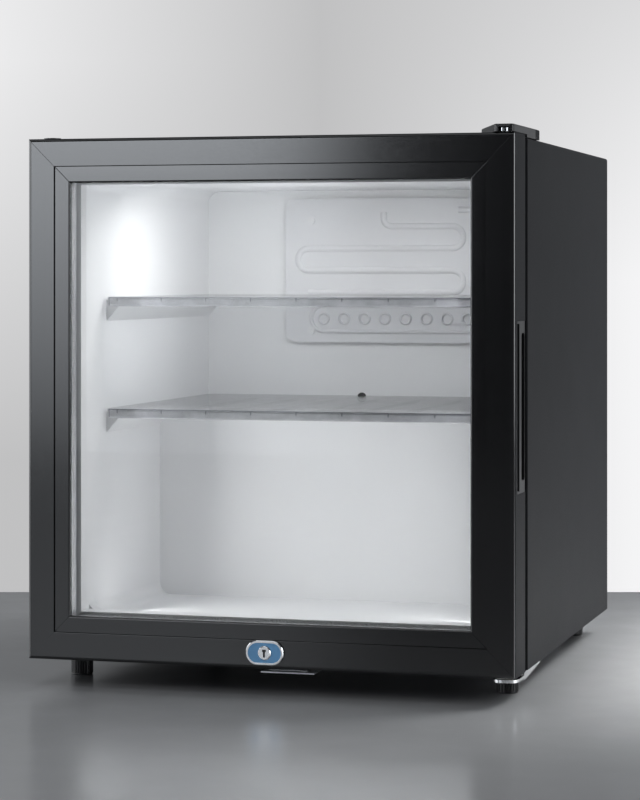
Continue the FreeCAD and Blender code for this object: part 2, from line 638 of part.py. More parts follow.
def hinge_screws():
    """Six screws hold the two hinges."""
    screws = [screw(x, y, f"{TOP} + BracketThick", True) for x, y in top_screw_places()]
    screws += [screw(x, y, "FloorGap - 0.1 - BracketThick", False) for x, y in bottom_screw_places()]
    keep(gather(*screws), "hinge_screws")


def shell_screw_holes():
    """Drill the wrapper's top where the upper hinge may be screwed, on the left or the right."""
    places = top_screw_places("-1") + top_screw_places("1")
    shell = nodes["cabinet_shell"]
    drills = [rod("z", x, y, f"{TOP} - 3", "ScrewRadius + 0.1", "6") for x, y in places]
    drilled = cut(shell, *drills)
    shell.Label = "cabinet_wrapper"
    shell.setExpression("Placement.Base.y", None)
    shell.Placement = FreeCAD.Placement()
    keep(drilled, "cabinet_shell")


def hinge_hole_plugs():
    """Push-in plugs that close the unused hinge holes on the left."""
    plugs = []
    for x, y in top_screw_places("-1"):
        plugs.append(join(rod("z", x, y, TOP, "4", "1"), rod("z", x, y, f"{TOP} - 3", "2.4", "3.5")))
    for x, y in bottom_screw_places("-1"):
        plugs.append(join(rod("z", x, y, "FloorGap - 1", "4", "1"),
                          rod("z", x, y, "FloorGap - 0.5", "2.4", "3")))
    keep(gather(*plugs), "hinge_hole_plugs")


def strike_plate():
    """The steel catch under the cabinet: the lock's cam drops through its slot."""
    lip, high = "(FloorGap - 9.6)", "(FloorGap - 0.1)"
    plate = Solid("strike_plate")
    plate.pad("YZ_Plane", "-16", "48",
              loop_of((f"{FACE} - 14", lip), (f"{FACE} + 20", lip), (f"{FACE} + 20", f"{high} - 1.5"),
                      (f"{FACE} + 46", f"{high} - 1.5"), (f"{FACE} + 46", high), (f"{FACE} + 18.5", high),
                      (f"{FACE} + 18.5", f"{lip} + 1.2"), (f"{FACE} - 14", f"{lip} + 1.2")))
    plate.pocket("XY_Plane", f"{lip} - 1", "4", rectangle("-13", "23", f"{FACE} - 6.5", f"{FACE} - 1.5"))
    plate.pocket("XY_Plane", f"{high} - 3", "4", *[circle(x, f"{FACE} + 34", "2.2") for x in ("-6", "22")])


def strike_screws():
    """Two screws hold the catch to the base pan."""
    screws = []
    for x in ("-6", "22"):
        head = rod("z", x, f"{FACE} + 34", "FloorGap - 3.8", "4", "2.2")
        screws.append(join(head, rod("z", x, f"{FACE} + 34", "FloorGap - 2", "2", "1.9")))
    keep(gather(*screws), "strike_screws")


def rear_feet():
    """Two fixed moulded feet."""
    feet = []
    for sign in "-+":
        foot = Solid(x=f"{sign}({SIDE} - 30)", y="RearFootBack")
        foot.revolve(loop_of(("0", "0"), ("9", "0"), ("10", "1.5"), ("12", "FloorGap - 3"),
                             ("12", "FloorGap - 0.1"), ("0", "FloorGap - 0.1")))
        feet.append(foot.body)
    keep(gather(*feet), "rear_feet")


def foot_nuts():
    """Weld nuts for the levelling feet, on top of the threaded plates."""
    nuts = []
    for sign in ("-1", "1"):
        nut = block(f"{sign}*{FOOT_X} - 6.5", f"{sign}*{FOOT_X} + 6.5", "FootBack - 6.5", "FootBack + 6.5",
                    "FloorGap + Steel + 3", "FloorGap + Steel + 9")
        nuts.append(cut(nut, rod("z", f"{sign}*{FOOT_X}", "FootBack", "FloorGap", "StudRadius + 0.05", "20")))
    keep(gather(*nuts), "foot_nuts")


def levelling_foot(label, sign):
    """A turned foot on a threaded stud."""
    foot = Solid(label, x=f"{sign}*{FOOT_X}", y="FootBack")
    foot.revolve(loop_of(("0", "0"), ("FootRadius - 1.8", "0"), ("FootRadius", "2.2"),
                         ("FootRadius", "FootTall - 1"), ("FootRadius - 1", "FootTall"),
                         ("StudRadius", "FootTall"), ("StudRadius", "FloorGap + 9"), ("0", "FloorGap + 9")))


# ---------------------------------------------------------------- cooling circuit

def compressor():
    """The welded pot on its mounting straps."""
    pot = Solid("compressor", x="PotX", y="PotY")
    low = "FloorGap + 14"
    pot.revolve(loop_of(("0", low), ("PotRadius - 14", low), ("PotRadius", f"{low} + 9"),
                        ("PotRadius", f"{low} + 55"), ("PotRadius + 3", f"{low} + 55"),
                        ("PotRadius + 3", f"{low} + 59"), ("PotRadius", f"{low} + 59"),
                        ("PotRadius", f"{low} + 92"), ("PotRadius - 16", f"{low} + 110"),
                        ("0", f"{low} + 113")))
    pot.fillet("8", lambda m, n, d: n > 150 and value(low) + 90 < m.z < value(low) + 111)
    pot.pad("XY_Plane", low, "2.5", rectangle("-72", "72", "-42", "-22"), rectangle("-72", "72", "22", "42"))
    pot.pocket("XY_Plane", f"{low} - 1", "5",
               *[circle(x, y, "5") for x in ("-62", "62") for y in ("-32", "32")])


def compressor_grommets():
    """Rubber mounts and their bolts' sleeves under the compressor's four corners."""
    mounts = []
    for x in ("PotX - 62", "PotX + 62"):
        for y in ("PotY - 32", "PotY + 32"):
            mount = Solid(x=x, y=y)
            mount.revolve(loop_of(("0", "FloorGap + 1.1"), ("9", "FloorGap + 1.1"), ("9", "FloorGap + 13.9"),
                                  ("4.9", "FloorGap + 13.9"), ("4.9", "FloorGap + 16.7"),
                                  ("8", "FloorGap + 16.7"), ("8", "FloorGap + 21"), ("0", "FloorGap + 21")))
            mounts.append(mount.body)
    keep(gather(*mounts), "compressor_grommets")


def compressor_relay_cover():
    """The moulded cover over the starting relay on the pot's side."""
    box = block("PotX - PotRadius - 32", "PotX - PotRadius + 8", "PotY - 24", "PotY + 24",
                "FloorGap + 40", "FloorGap + 66")
    rounded = soften(box, "4", lambda m, n, d: m.x < value("PotX - PotRadius") - 20)
    pot = rod("z", "PotX", "PotY", "FloorGap", "PotRadius + 0.3", "200")
    keep(cut(rounded, pot), "compressor_relay_cover")


def condenser_coil():
    """The hot tube behind both side walls, with its legs and links in the machine space."""
    radius = value("TubeRadius")
    solids = []
    for sign in ("", "-"):
        x = f"{sign}CoilX"
        path = [(x, "455", "120"), (x, "455", "455")]
        levels = (455, 410, 365, 320, 275, 230)
        for run, level in enumerate(levels):
            near, far = ("75", "440") if run % 2 == 0 else ("440", "75")
            if run:
                path.append((x, far, str(level)))
            path.append((x, near, str(level)))
        path.append((x, "440", "120"))
        solids.append(bent_tube(path, radius, 7))
    link = [("CoilX", "440", "120"), ("CoilX", "440", "45"),
            ("-CoilX", "440", "45"), ("-CoilX", "440", "120")]
    feed = [("-CoilX", "455", "120"), ("-CoilX", "455", "52"), ("90", "455", "52"), ("90", "430", "52"),
            ("90", "430", "75")]
    solids += [bent_tube(link, radius, 7), bent_tube(feed, radius, 7)]
    shaped("condenser_coil", Part.makeCompound(solids))


def filter_drier():
    """The copper drier between the condenser and the capillary."""
    drier = Solid("filter_drier", x="90", y="430")
    drier.revolve(loop_of(("0", "75"), ("TubeRadius + 0.8", "75"), ("TubeRadius + 0.8", "82"), ("8", "90"),
                          ("8", "150"), ("2.2", "158"), ("2.2", "164"), ("0", "164")))


def tubes():
    """The three copper tubes in the machine space."""
    thin = 1.3
    start = "PotX + PotRadius + 0.3"
    shaped("discharge_tube", bent_tube([(start, "PotY", "80"), ("150", "PotY", "80"), ("150", "455", "80"),
                                        ("CoilX", "455", "80"), ("CoilX", "455", "120")],
                                       value("TubeRadius"), 9))
    shaped("suction_tube", bent_tube([("60", "LinerBack - 3.4", "300"), ("60", "430", "300"),
                                      ("60", "430", "128"), ("60", "PotY", "128"), (start, "PotY", "128")],
                                     3.2, 10))
    shaped("capillary_tube", bent_tube([("90", "430", "164"), ("90", "430", "310"),
                                        ("90", "LinerBack - 3.4", "310")], thin, 8))


def drip_tray():
    """The tray on the compressor where melt water dries off, and its pipe from the cabinet."""
    low = "FloorGap + 129"
    tray = soften(block("PotX - 55", "PotX + 55", "PotY - 45", "PotY + 68", low, f"{low} + 24"), "8",
                  lambda m, n, d: along(d, 2))
    hollow = soften(block("PotX - 53", "PotX + 53", "PotY - 43", "PotY + 66", f"{low} + 2", f"{low} + 30"),
                    "6", lambda m, n, d: along(d, 2))
    keep(cut(tray, hollow), "drip_tray")


def drain_spout():
    """The pipe that takes melt water from the liner down to the tray."""
    level = "FloorGap + HumpTop + 12"
    run = [("-20", "LinerBack + 0.2", level), ("-20", "440", level), ("-20", "440", "FloorGap + 140")]
    shaped("drain_spout", bent_tube(run, 4.8, 12).cut(bent_tube(run, 3.6, 12)))


def power_inlet():
    """The moulded bushing in the base pan's rear edge where the mains lead goes in."""
    middle = "FloorGap + 15"
    outer = rod("y", "130", f"{BACK} - 1.2", middle, "9.5", "1.2")
    inner = rod("y", "130", f"{BACK} - 10", middle, "6.9", "9")
    nut = rod("y", "130", f"{BACK} - 6.4", middle, "9.5", "4")
    keep(cut(join(outer, inner, nut), rod("y", "130", f"{BACK} - 12", middle, "3.6", "14")), "power_inlet")


# ---------------------------------------------------------------- door

def frame_members():
    """Four mitred rails: an outer band on the face, a rebate for the glass and a back leg."""
    for side, label in (("top", "frame_top_rail"), ("bottom", "frame_bottom_rail"),
                        ("left", "frame_left_stile"), ("right", "frame_right_stile")):
        member = Solid(label)
        member.pad("XZ_Plane", "0", "DoorThick", frame_side(side, "0", "FrameWide"))
        edge = {"top": (2, value(DOOR_TOP)), "bottom": (2, value(DOOR_LOW)),
                "left": (0, -value(SIDE)), "right": (0, value(SIDE))}[side]
        along_axis = 0 if edge[0] == 2 else 2
        member.fillet("FrameRound", lambda m, n, d: along(d, along_axis) and n > 300
                      and abs(m[edge[0]] - edge[1]) < 0.01)
        member.pocket("XZ_Plane", "0", "RebateDeep", frame_side(side, "FrameBand", "FrameWide"))
        hinge_holes(member, side)
        if side in ("left", "right"):
            low = "-1 - Wide/2" if side == "left" else "Wide/2 - PullDeep"
            member.pocket("YZ_Plane", low, "PullDeep + 1",
                          rectangle("PullFront", "PullBack", "FloorGap + PullLow", "FloorGap + PullHigh"))
        if side == "bottom":
            member.pocket("XZ_Plane", "-1", "DoorThick + 2", circle("0", LOCK_Z, "BarrelRadius + 0.2"))


def hinge_holes(member, side):
    """Bore the bush holes that cross this member, at both ends for a door hung either way."""
    ends = {"top": ("-", "+"), "bottom": ("-", "+"), "left": ("-",), "right": ("+",)}[side]
    holes = [circle(f"{sign}{HINGE_X}", "HingeBack", "BushRadius") for sign in ends]
    if side != "bottom":
        member.pocket("XY_Plane", f"{DOOR_TOP} - BushDeep", "BushDeep + 1", *holes)
    if side != "top":
        member.pocket("XY_Plane", f"{DOOR_LOW} - 1", "BushDeep + 1", *holes)


def glazing_beads():
    """Four mitred beads that cover the glass edge, set back behind the outer band."""
    for side in ("top", "bottom", "left", "right"):
        bead = Solid(f"{side}_bead")
        bead.pad("XZ_Plane", "BeadStep", "BeadBack - BeadStep",
                 frame_side(side, "FrameBand + 0.1", "FrameWide"))
        inner = {"top": (2, value(f"{DOOR_TOP} - FrameWide")),
                 "bottom": (2, value(f"{DOOR_LOW} + FrameWide")),
                 "left": (0, value(f"FrameWide - {SIDE}")),
                 "right": (0, value(f"{SIDE} - FrameWide"))}[side]
        bead.chamfer("BeadChamfer", lambda m, n, d: abs(m[inner[0]] - inner[1]) < 0.01 and n > 300
                     and m.y < value("BeadStep") + 0.01)


def pane(label, start, thick):
    """A sheet of glass that fills the rebate."""
    keep(block(f"PaneInset - {SIDE}", f"{SIDE} - PaneInset", start, f"{start} + {thick}",
               f"{DOOR_LOW} + PaneInset", f"{DOOR_TOP} - PaneInset"), label)


def glazing():
    """Two panes with a spacer round their edge."""
    pane("outer_glass", "GlassFront", "PaneThick")
    pane("inner_glass", "(GlassFront + PaneThick + PaneGap)", "PaneThick")
    start, inset = "GlassFront + PaneThick", "(FrameWide - 2)"
    spacer = Solid("glass_spacer")
    spacer.pad("XZ_Plane", start, "PaneGap",
               rectangle(f"PaneInset - {SIDE}", f"{SIDE} - PaneInset", f"{DOOR_LOW} + PaneInset",
                         f"{DOOR_TOP} - PaneInset"),
               rectangle(f"{inset} - {SIDE}", f"{SIDE} - {inset}", f"{DOOR_LOW} + {inset}",
                         f"{DOOR_TOP} - {inset}"))


def inner_trim():
    """The white moulding that backs the glass and lines the door's opening behind it."""
    wide, out = f"({SIDE} - FrameWide)", f"({SIDE} - PaneInset)"
    low, high = f"({DOOR_LOW} + FrameWide)", f"({DOOR_TOP} - FrameWide)"
    glass_back = "(GlassFront + 2*PaneThick + PaneGap)"
    lining = block(f"-{wide}", wide, "RebateDeep", "DoorThick", low, high)
    flange = block(f"-{out}", out, glass_back, "RebateDeep", f"{DOOR_LOW} + PaneInset",
                   f"{DOOR_TOP} - PaneInset")
    inside = block(f"TrimWall - {wide}", f"{wide} - TrimWall", f"{glass_back} - 1", "DoorThick + 1",
                   f"{low} + TrimWall", f"{high} - TrimWall")
    keep(cut(join(flange, lining), inside), "inner_trim")


def door_gasket():
    """Four mitred strips: a base in the door's back and a softer lip that meets the cabinet."""
    strips = []
    for side in ("top", "bottom", "left", "right"):
        strip = Solid()
        strip.pad("XZ_Plane", "DoorThick + 0.1", "GasketBase",
                  frame_side(side, "GasketInset", "GasketInset + GasketWide"))
        strip.pad("XZ_Plane", "DoorThick + GasketBase", "GasketGap - GasketBase - 0.3",
                  frame_side(side, "GasketInset + GasketLip", "GasketInset + GasketWide - GasketLip"))
        strips.append(strip.body)
    keep(gather(*strips), "door_gasket")


def pull_insert(label, sign):
    """The moulded cup in the door's edge: a shallow groove, a rib and a deep slot for the fingers."""
    low, high = "(FloorGap + PullLow + 0.1)", "(FloorGap + PullHigh - 0.1)"
    outer = f"({SIDE} - 0.3)"
    inner = f"({SIDE} - PullDeep + 0.1)"
    ends = (inner, outer) if sign > 0 else (f"-{outer}", f"-{inner}")
    body = block(ends[0], ends[1], "PullFront + 0.1", "PullBack - 0.1", low, high)
    groove_x = (f"{SIDE} - 3.5", f"{SIDE} + 1") if sign > 0 else (f"-1 - {SIDE}", f"3.5 - {SIDE}")
    slot_x = ((f"{SIDE} - PullDeep + 2", f"{SIDE} + 1") if sign > 0
              else (f"-1 - {SIDE}", f"PullDeep - 2 - {SIDE}"))
    groove = block(groove_x[0], groove_x[1], "PullFront + 1.5", "PullFront + 10", f"{low} + 2", f"{high} - 2")
    slot = block(slot_x[0], slot_x[1], "PullFront + 19", "PullBack - 2", f"{low} + 10", f"{high} - 10")
    keep(cut(body, groove, soften(slot, "3", lambda m, n, d: along(d, 0))), label)


def hinge_bushes():
    """The nylon bushes that the two pins turn in."""
    bore = "PinRadius + PinFit"
    upper = Solid(x=HINGE_X, y="HingeBack")
    upper.revolve(loop_of((bore, f"{DOOR_TOP} - BushDeep"), ("BushRadius - 0.05", f"{DOOR_TOP} - BushDeep"),
                          ("BushRadius - 0.05", DOOR_TOP), ("BushRadius + 2", DOOR_TOP),
                          ("BushRadius + 2", f"{DOOR_TOP} + 0.5"), (bore, f"{DOOR_TOP} + 0.5")))
    lower = Solid(x=HINGE_X, y="HingeBack")
    lower.revolve(loop_of((bore, "FloorGap - 2.7"), ("BushRadius + 1.5", "FloorGap - 2.7"),
                          ("BushRadius + 1.5", DOOR_LOW), ("BushRadius - 0.05", DOOR_LOW),
                          ("BushRadius - 0.05", f"{DOOR_LOW} + BushDeep"), (bore, f"{DOOR_LOW} + BushDeep")))
    keep(gather(upper.body, lower.body), "hinge_bushes")


def door_hole_plugs():
    """Plugs in the door's unused bush holes, on the left."""
    plugs = []
    for low, high, rim in ((f"{DOOR_TOP} - 8", DOOR_TOP, DOOR_TOP),
                           (DOOR_LOW, f"{DOOR_LOW} + 8", f"{DOOR_LOW} - PlugRim")):
        stem = rod("z", f"-{HINGE_X}", "HingeBack", low, "BushRadius - 0.1", f"({high}) - ({low})")
        plugs.append(join(stem, rod("z", f"-{HINGE_X}", "HingeBack", rim, "BushRadius + 1.5", "PlugRim")))
    keep(gather(*plugs), "door_hole_plugs")


def lock_housing():
    """The oval bezel and the barrel that goes through the bottom rail."""
    bezel = Solid("lock_housing")
    half_long, half_tall = "(LockLong/2)", "(LockTall/2)"
    bezel.pad("XZ_Plane", "-2.6", "2.5",
              rounded_rectangle(f"-{half_long}", half_long, f"{LOCK_Z} - {half_tall}",
                                f"{LOCK_Z} + {half_tall}", "LockTall/2 - 0.02"))
    bezel.chamfer("0.6", lambda m, n, d: m.y < -2.59)
    bezel.pad("XZ_Plane", "-0.5", "DoorThick + 2", circle("0", LOCK_Z, "BarrelRadius"))
    bezel.pocket("XZ_Plane", "-3", "1.2",
                 rounded_rectangle("2 - LockLong/2", "LockLong/2 - 2", f"{LOCK_Z} + 2 - {half_tall}",
                                   f"{LOCK_Z} - 2 + {half_tall}", "LockTall/2 - 2.02"))
    bezel.pocket("XZ_Plane", "-4", "DoorThick + 8", circle("0", LOCK_Z, "PlugRadius + 0.05"))


def lock_face():
    """The coloured oval set into the bezel."""
    half_long, half_tall = "(LockLong/2 - 2.1)", "(LockTall/2 - 2.1)"
    plate = Solid("lock_face")
    plate.pad("XZ_Plane", "-2.2", "0.4",
              rounded_rectangle(f"-{half_long}", half_long, f"{LOCK_Z} - {half_tall}",
                                f"{LOCK_Z} + {half_tall}", "LockTall/2 - 2.12"))
    plate.pocket("XZ_Plane", "-4", "4", circle("0", LOCK_Z, "PlugRadius + 0.3"))


# ---------------------------------------------------------------- lock, dial, switch and shelves

def lock_plug():
    """The plug that the key turns, with its keyway."""
    plug = Solid("lock_plug")
    plug.pad("XZ_Plane", "-LockProud", "LockProud + DoorThick + 3", circle("0", LOCK_Z, "PlugRadius"))
    plug.chamfer("0.5", lambda m, n, d: m.y < value("-LockProud") + 0.01)
    plug.pocket("XZ_Plane", "-LockProud - 1", "7",
                loop_of(("-0.9", f"{LOCK_Z} - 3.6"), ("0.9", f"{LOCK_Z} - 3.6"), ("0.9", f"{LOCK_Z} + 1"),
                        ("1.7", f"{LOCK_Z} + 1"), ("1.7", f"{LOCK_Z} + 3"), ("-1.7", f"{LOCK_Z} + 3"),
                        ("-1.7", f"{LOCK_Z} + 1"), ("-0.9", f"{LOCK_Z} + 1")))
    plug.pocket("XZ_Plane", "DoorThick - 2", "6", circle("0", LOCK_Z, "1.55"))


def lock_cam():
    """The arm on the plug's inner end, level while the door is unlocked."""
    cam = Solid("lock_cam")
    start = "DoorThick + 3"
    cam.pad("XZ_Plane", start, "CamThick",
            rectangle("-CamWide/2", "CamReach", f"{LOCK_Z} - CamWide/2", f"{LOCK_Z} + CamWide/2"))
    cam.fillet("CamWide/2 - 0.1", lambda m, n, d: along(d, 1))
    cam.pocket("XZ_Plane", f"{start} - 1", "CamThick + 2", circle("0", LOCK_Z, "1.55"))


def cam_screw():
    """The screw that holds the cam."""
    head = rod("y", "0", "DoorThick + 3 + CamThick", LOCK_Z, "3.5", "1.8")
    keep(join(head, rod("y", "0", "DoorThick - 1.8", LOCK_Z, "1.5", "7")), "cam_screw")


def thermostat_dial():
    """The ribbed knob with its pointer and shaft."""
    knob = rod("x", "125.5", "280", DIAL_Z, "14", "9")
    rounded = soften(knob, "1.5", lambda m, n, d: m.x < 126)
    grips = []
    for number in range(18):
        turn = 2 * math.pi * number / 18
        grips.append(rod("x", "127", f"280 + {14.2 * math.cos(turn):.3f}",
                         f"{DIAL_Z} + {14.2 * math.sin(turn):.3f}", "0.9", "10"))
    pointer = block("125", "126.5", "279.2", "280.8", f"{DIAL_Z} + 2", f"{DIAL_Z} + 12")
    knob_body = cut(rounded, *grips, pointer)
    keep(join(knob_body, rod("x", "134", "280", DIAL_Z, "3", "14")), "thermostat_dial")


def lamp_switch():
    """The rocker that turns the lamp on and off: its face is a shallow V, so one end stands out."""
    rocker = Solid("lamp_switch")
    low, high = f"({DIAL_Z} - RockerTall/2)", f"({DIAL_Z} + RockerTall/2)"
    face, crest, root = "RockerFace", "(RockerFace + 1.2)", "(RockerFace + 6.8)"
    rocker.pad("XZ_Plane", "RockerAt", "RockerWide",
               loop_of((face, low), (crest, DIAL_Z), (face, high), (root, high), (root, low)))


def shelf(label, level, back):
    """A clear moulded shelf with a deeper front lip and ribs underneath."""
    top = f"(FloorGap + {level})"
    width = f"({OPENING} - ShelfSide)"
    panel = Solid(label)
    panel.pad("XY_Plane", f"{top} - ShelfThick", "ShelfThick",
              rectangle(f"-{width}", width, "ShelfFront", back))
    panel.fillet("8", lambda m, n, d: along(d, 2))
    lip = f"({OPENING} - LedgeWide - 1)"
    panel.pad("XY_Plane", f"{top} - ShelfLip", "ShelfLip - ShelfThick + 0.1",
              rectangle(f"-{width} + 4", f"{width} - 4", "ShelfFront", "ShelfFront + 4"))
    panel.pad("XY_Plane", f"{top} - ShelfThick - 2.5", "2.6",
              *[rectangle(f"{x} - 1", f"{x} + 1", "ShelfFront + 3.9", f"{back} - 12")
                for x in range(-126, 127, 42)],
              rectangle(f"-{lip}", f"2 - {lip}", "ShelfFront + 3.9", f"{back} - 12"),
              rectangle(f"{lip} - 2", lip, "ShelfFront + 3.9", f"{back} - 12"))


# ---------------------------------------------------------------- build and write

def build():
    """Draw every sub-part."""
    cabinet_shell()
    shell_screw_holes()
    rear_panel()
    machine_deck()
    base_pan()
    inner_liner()
    foam_insulation()
    evaporator_plate()
    evaporator_screws()
    control_housing()
    thermostat_body()
    lamp_lens()
    hinge_pads()
    top_hinge_bracket()
    top_hinge_cover()
    bottom_hinge_bracket()
    hinge_screws()
    hinge_hole_plugs()
    strike_plate()
    strike_screws()
    rear_feet()
    foot_nuts()
    compressor()
    compressor_grommets()
    compressor_relay_cover()
    condenser_coil()
    filter_drier()
    tubes()
    drip_tray()
    drain_spout()
    power_inlet()
    frame_members()
    glazing_beads()
    glazing()
    inner_trim()
    door_gasket()
    pull_insert("left_pull_insert", -1)
    pull_insert("right_pull_insert", 1)
    hinge_bushes()
    door_hole_plugs()
    lock_housing()
    lock_face()
    lock_plug()
    lock_cam()
    cam_screw()
    thermostat_dial()
    lamp_switch()
    shelf("lower_shelf", "ShelfLow", "LinerBack - 2")
    shelf("upper_shelf", "ShelfHigh", "LinerBack - 10")
    levelling_foot("left_levelling_foot", "-1")
    levelling_foot("right_levelling_foot", "1")


def check():
    """Stop on any failed object or any sub-part without a sound shape."""
    doc.recompute()
    failed = [item.Label for item in doc.Objects if "Invalid" in item.State or "Error" in item.State]
    if failed:
        raise RuntimeError(f"failed objects: {failed}")
    for label, node in nodes.items():
        if node.Shape.isNull() or not node.Shape.isValid() or not node.Shape.Solids:
            raise RuntimeError(f"{label} has no sound shape")


build()
check()
os.makedirs("parts", exist_ok=True)
for label, node in nodes.items():
    node.Shape.exportStep(f"parts/{label}.step")
    box = node.Shape.BoundBox
    print(f"{label}: {len(node.Shape.Solids)} solids, x {box.XMin:.1f}..{box.XMax:.1f}, "
          f"y {box.YMin:.1f}..{box.YMax:.1f}, z {box.ZMin:.1f}..{box.ZMax:.1f}")
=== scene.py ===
"""A compact fridge with a glass door: its finishes, its fine pieces, and the studio round it.

Every size is in metres in the frame's own axes: X to the right, Y to the back and Z up from the floor.
"""

import json
import logging
import math
from dataclasses import dataclass, field
from enum import Enum
from typing import Iterable, Optional, Sequence, Union

import bmesh
import bpy
from mathutils import Matrix, Vector


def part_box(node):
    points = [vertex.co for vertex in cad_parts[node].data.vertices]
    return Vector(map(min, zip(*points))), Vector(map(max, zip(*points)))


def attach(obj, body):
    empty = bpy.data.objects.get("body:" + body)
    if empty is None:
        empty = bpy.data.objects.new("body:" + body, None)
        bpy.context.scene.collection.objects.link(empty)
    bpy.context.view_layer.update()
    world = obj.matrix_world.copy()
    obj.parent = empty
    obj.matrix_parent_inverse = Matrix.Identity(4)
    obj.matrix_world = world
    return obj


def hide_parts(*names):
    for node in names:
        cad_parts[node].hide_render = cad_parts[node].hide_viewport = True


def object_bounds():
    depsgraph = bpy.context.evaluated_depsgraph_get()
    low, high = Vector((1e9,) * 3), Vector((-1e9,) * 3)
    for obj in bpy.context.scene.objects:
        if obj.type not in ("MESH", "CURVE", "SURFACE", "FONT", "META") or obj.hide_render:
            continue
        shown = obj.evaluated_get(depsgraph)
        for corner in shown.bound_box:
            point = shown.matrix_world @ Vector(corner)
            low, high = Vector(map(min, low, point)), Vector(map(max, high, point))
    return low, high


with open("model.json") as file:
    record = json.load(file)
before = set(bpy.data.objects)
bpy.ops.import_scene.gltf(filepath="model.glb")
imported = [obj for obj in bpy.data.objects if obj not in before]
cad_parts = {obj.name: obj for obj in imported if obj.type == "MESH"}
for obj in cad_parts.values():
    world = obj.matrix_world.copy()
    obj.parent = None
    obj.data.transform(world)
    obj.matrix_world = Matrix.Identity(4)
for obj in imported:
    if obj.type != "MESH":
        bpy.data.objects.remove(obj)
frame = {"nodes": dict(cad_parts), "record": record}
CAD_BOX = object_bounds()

LOG = logging.getLogger("fridge")
MM = 0.001
X, Y, Z = Vector((1, 0, 0)), Vector((0, 1, 0)), Vector((0, 0, 1))
WELD = 1e-6
SHARP = math.radians(32)
ALONG = 0.99
FLAT = math.radians(0.6)
SLOT_OF = {part["node"]: part["material_slot"] for part in frame["record"]["subparts"]}

CLOUD = 60 * MM     # the width of a patch where a coating's colour wanders
SHEEN = 35 * MM     # the width of a patch where its gloss wanders

Colour = tuple[float, float, float]
Value = Union[float, Sequence[float], bpy.types.NodeSocket]


# ------------------------------------------------------------------------------------- node trees

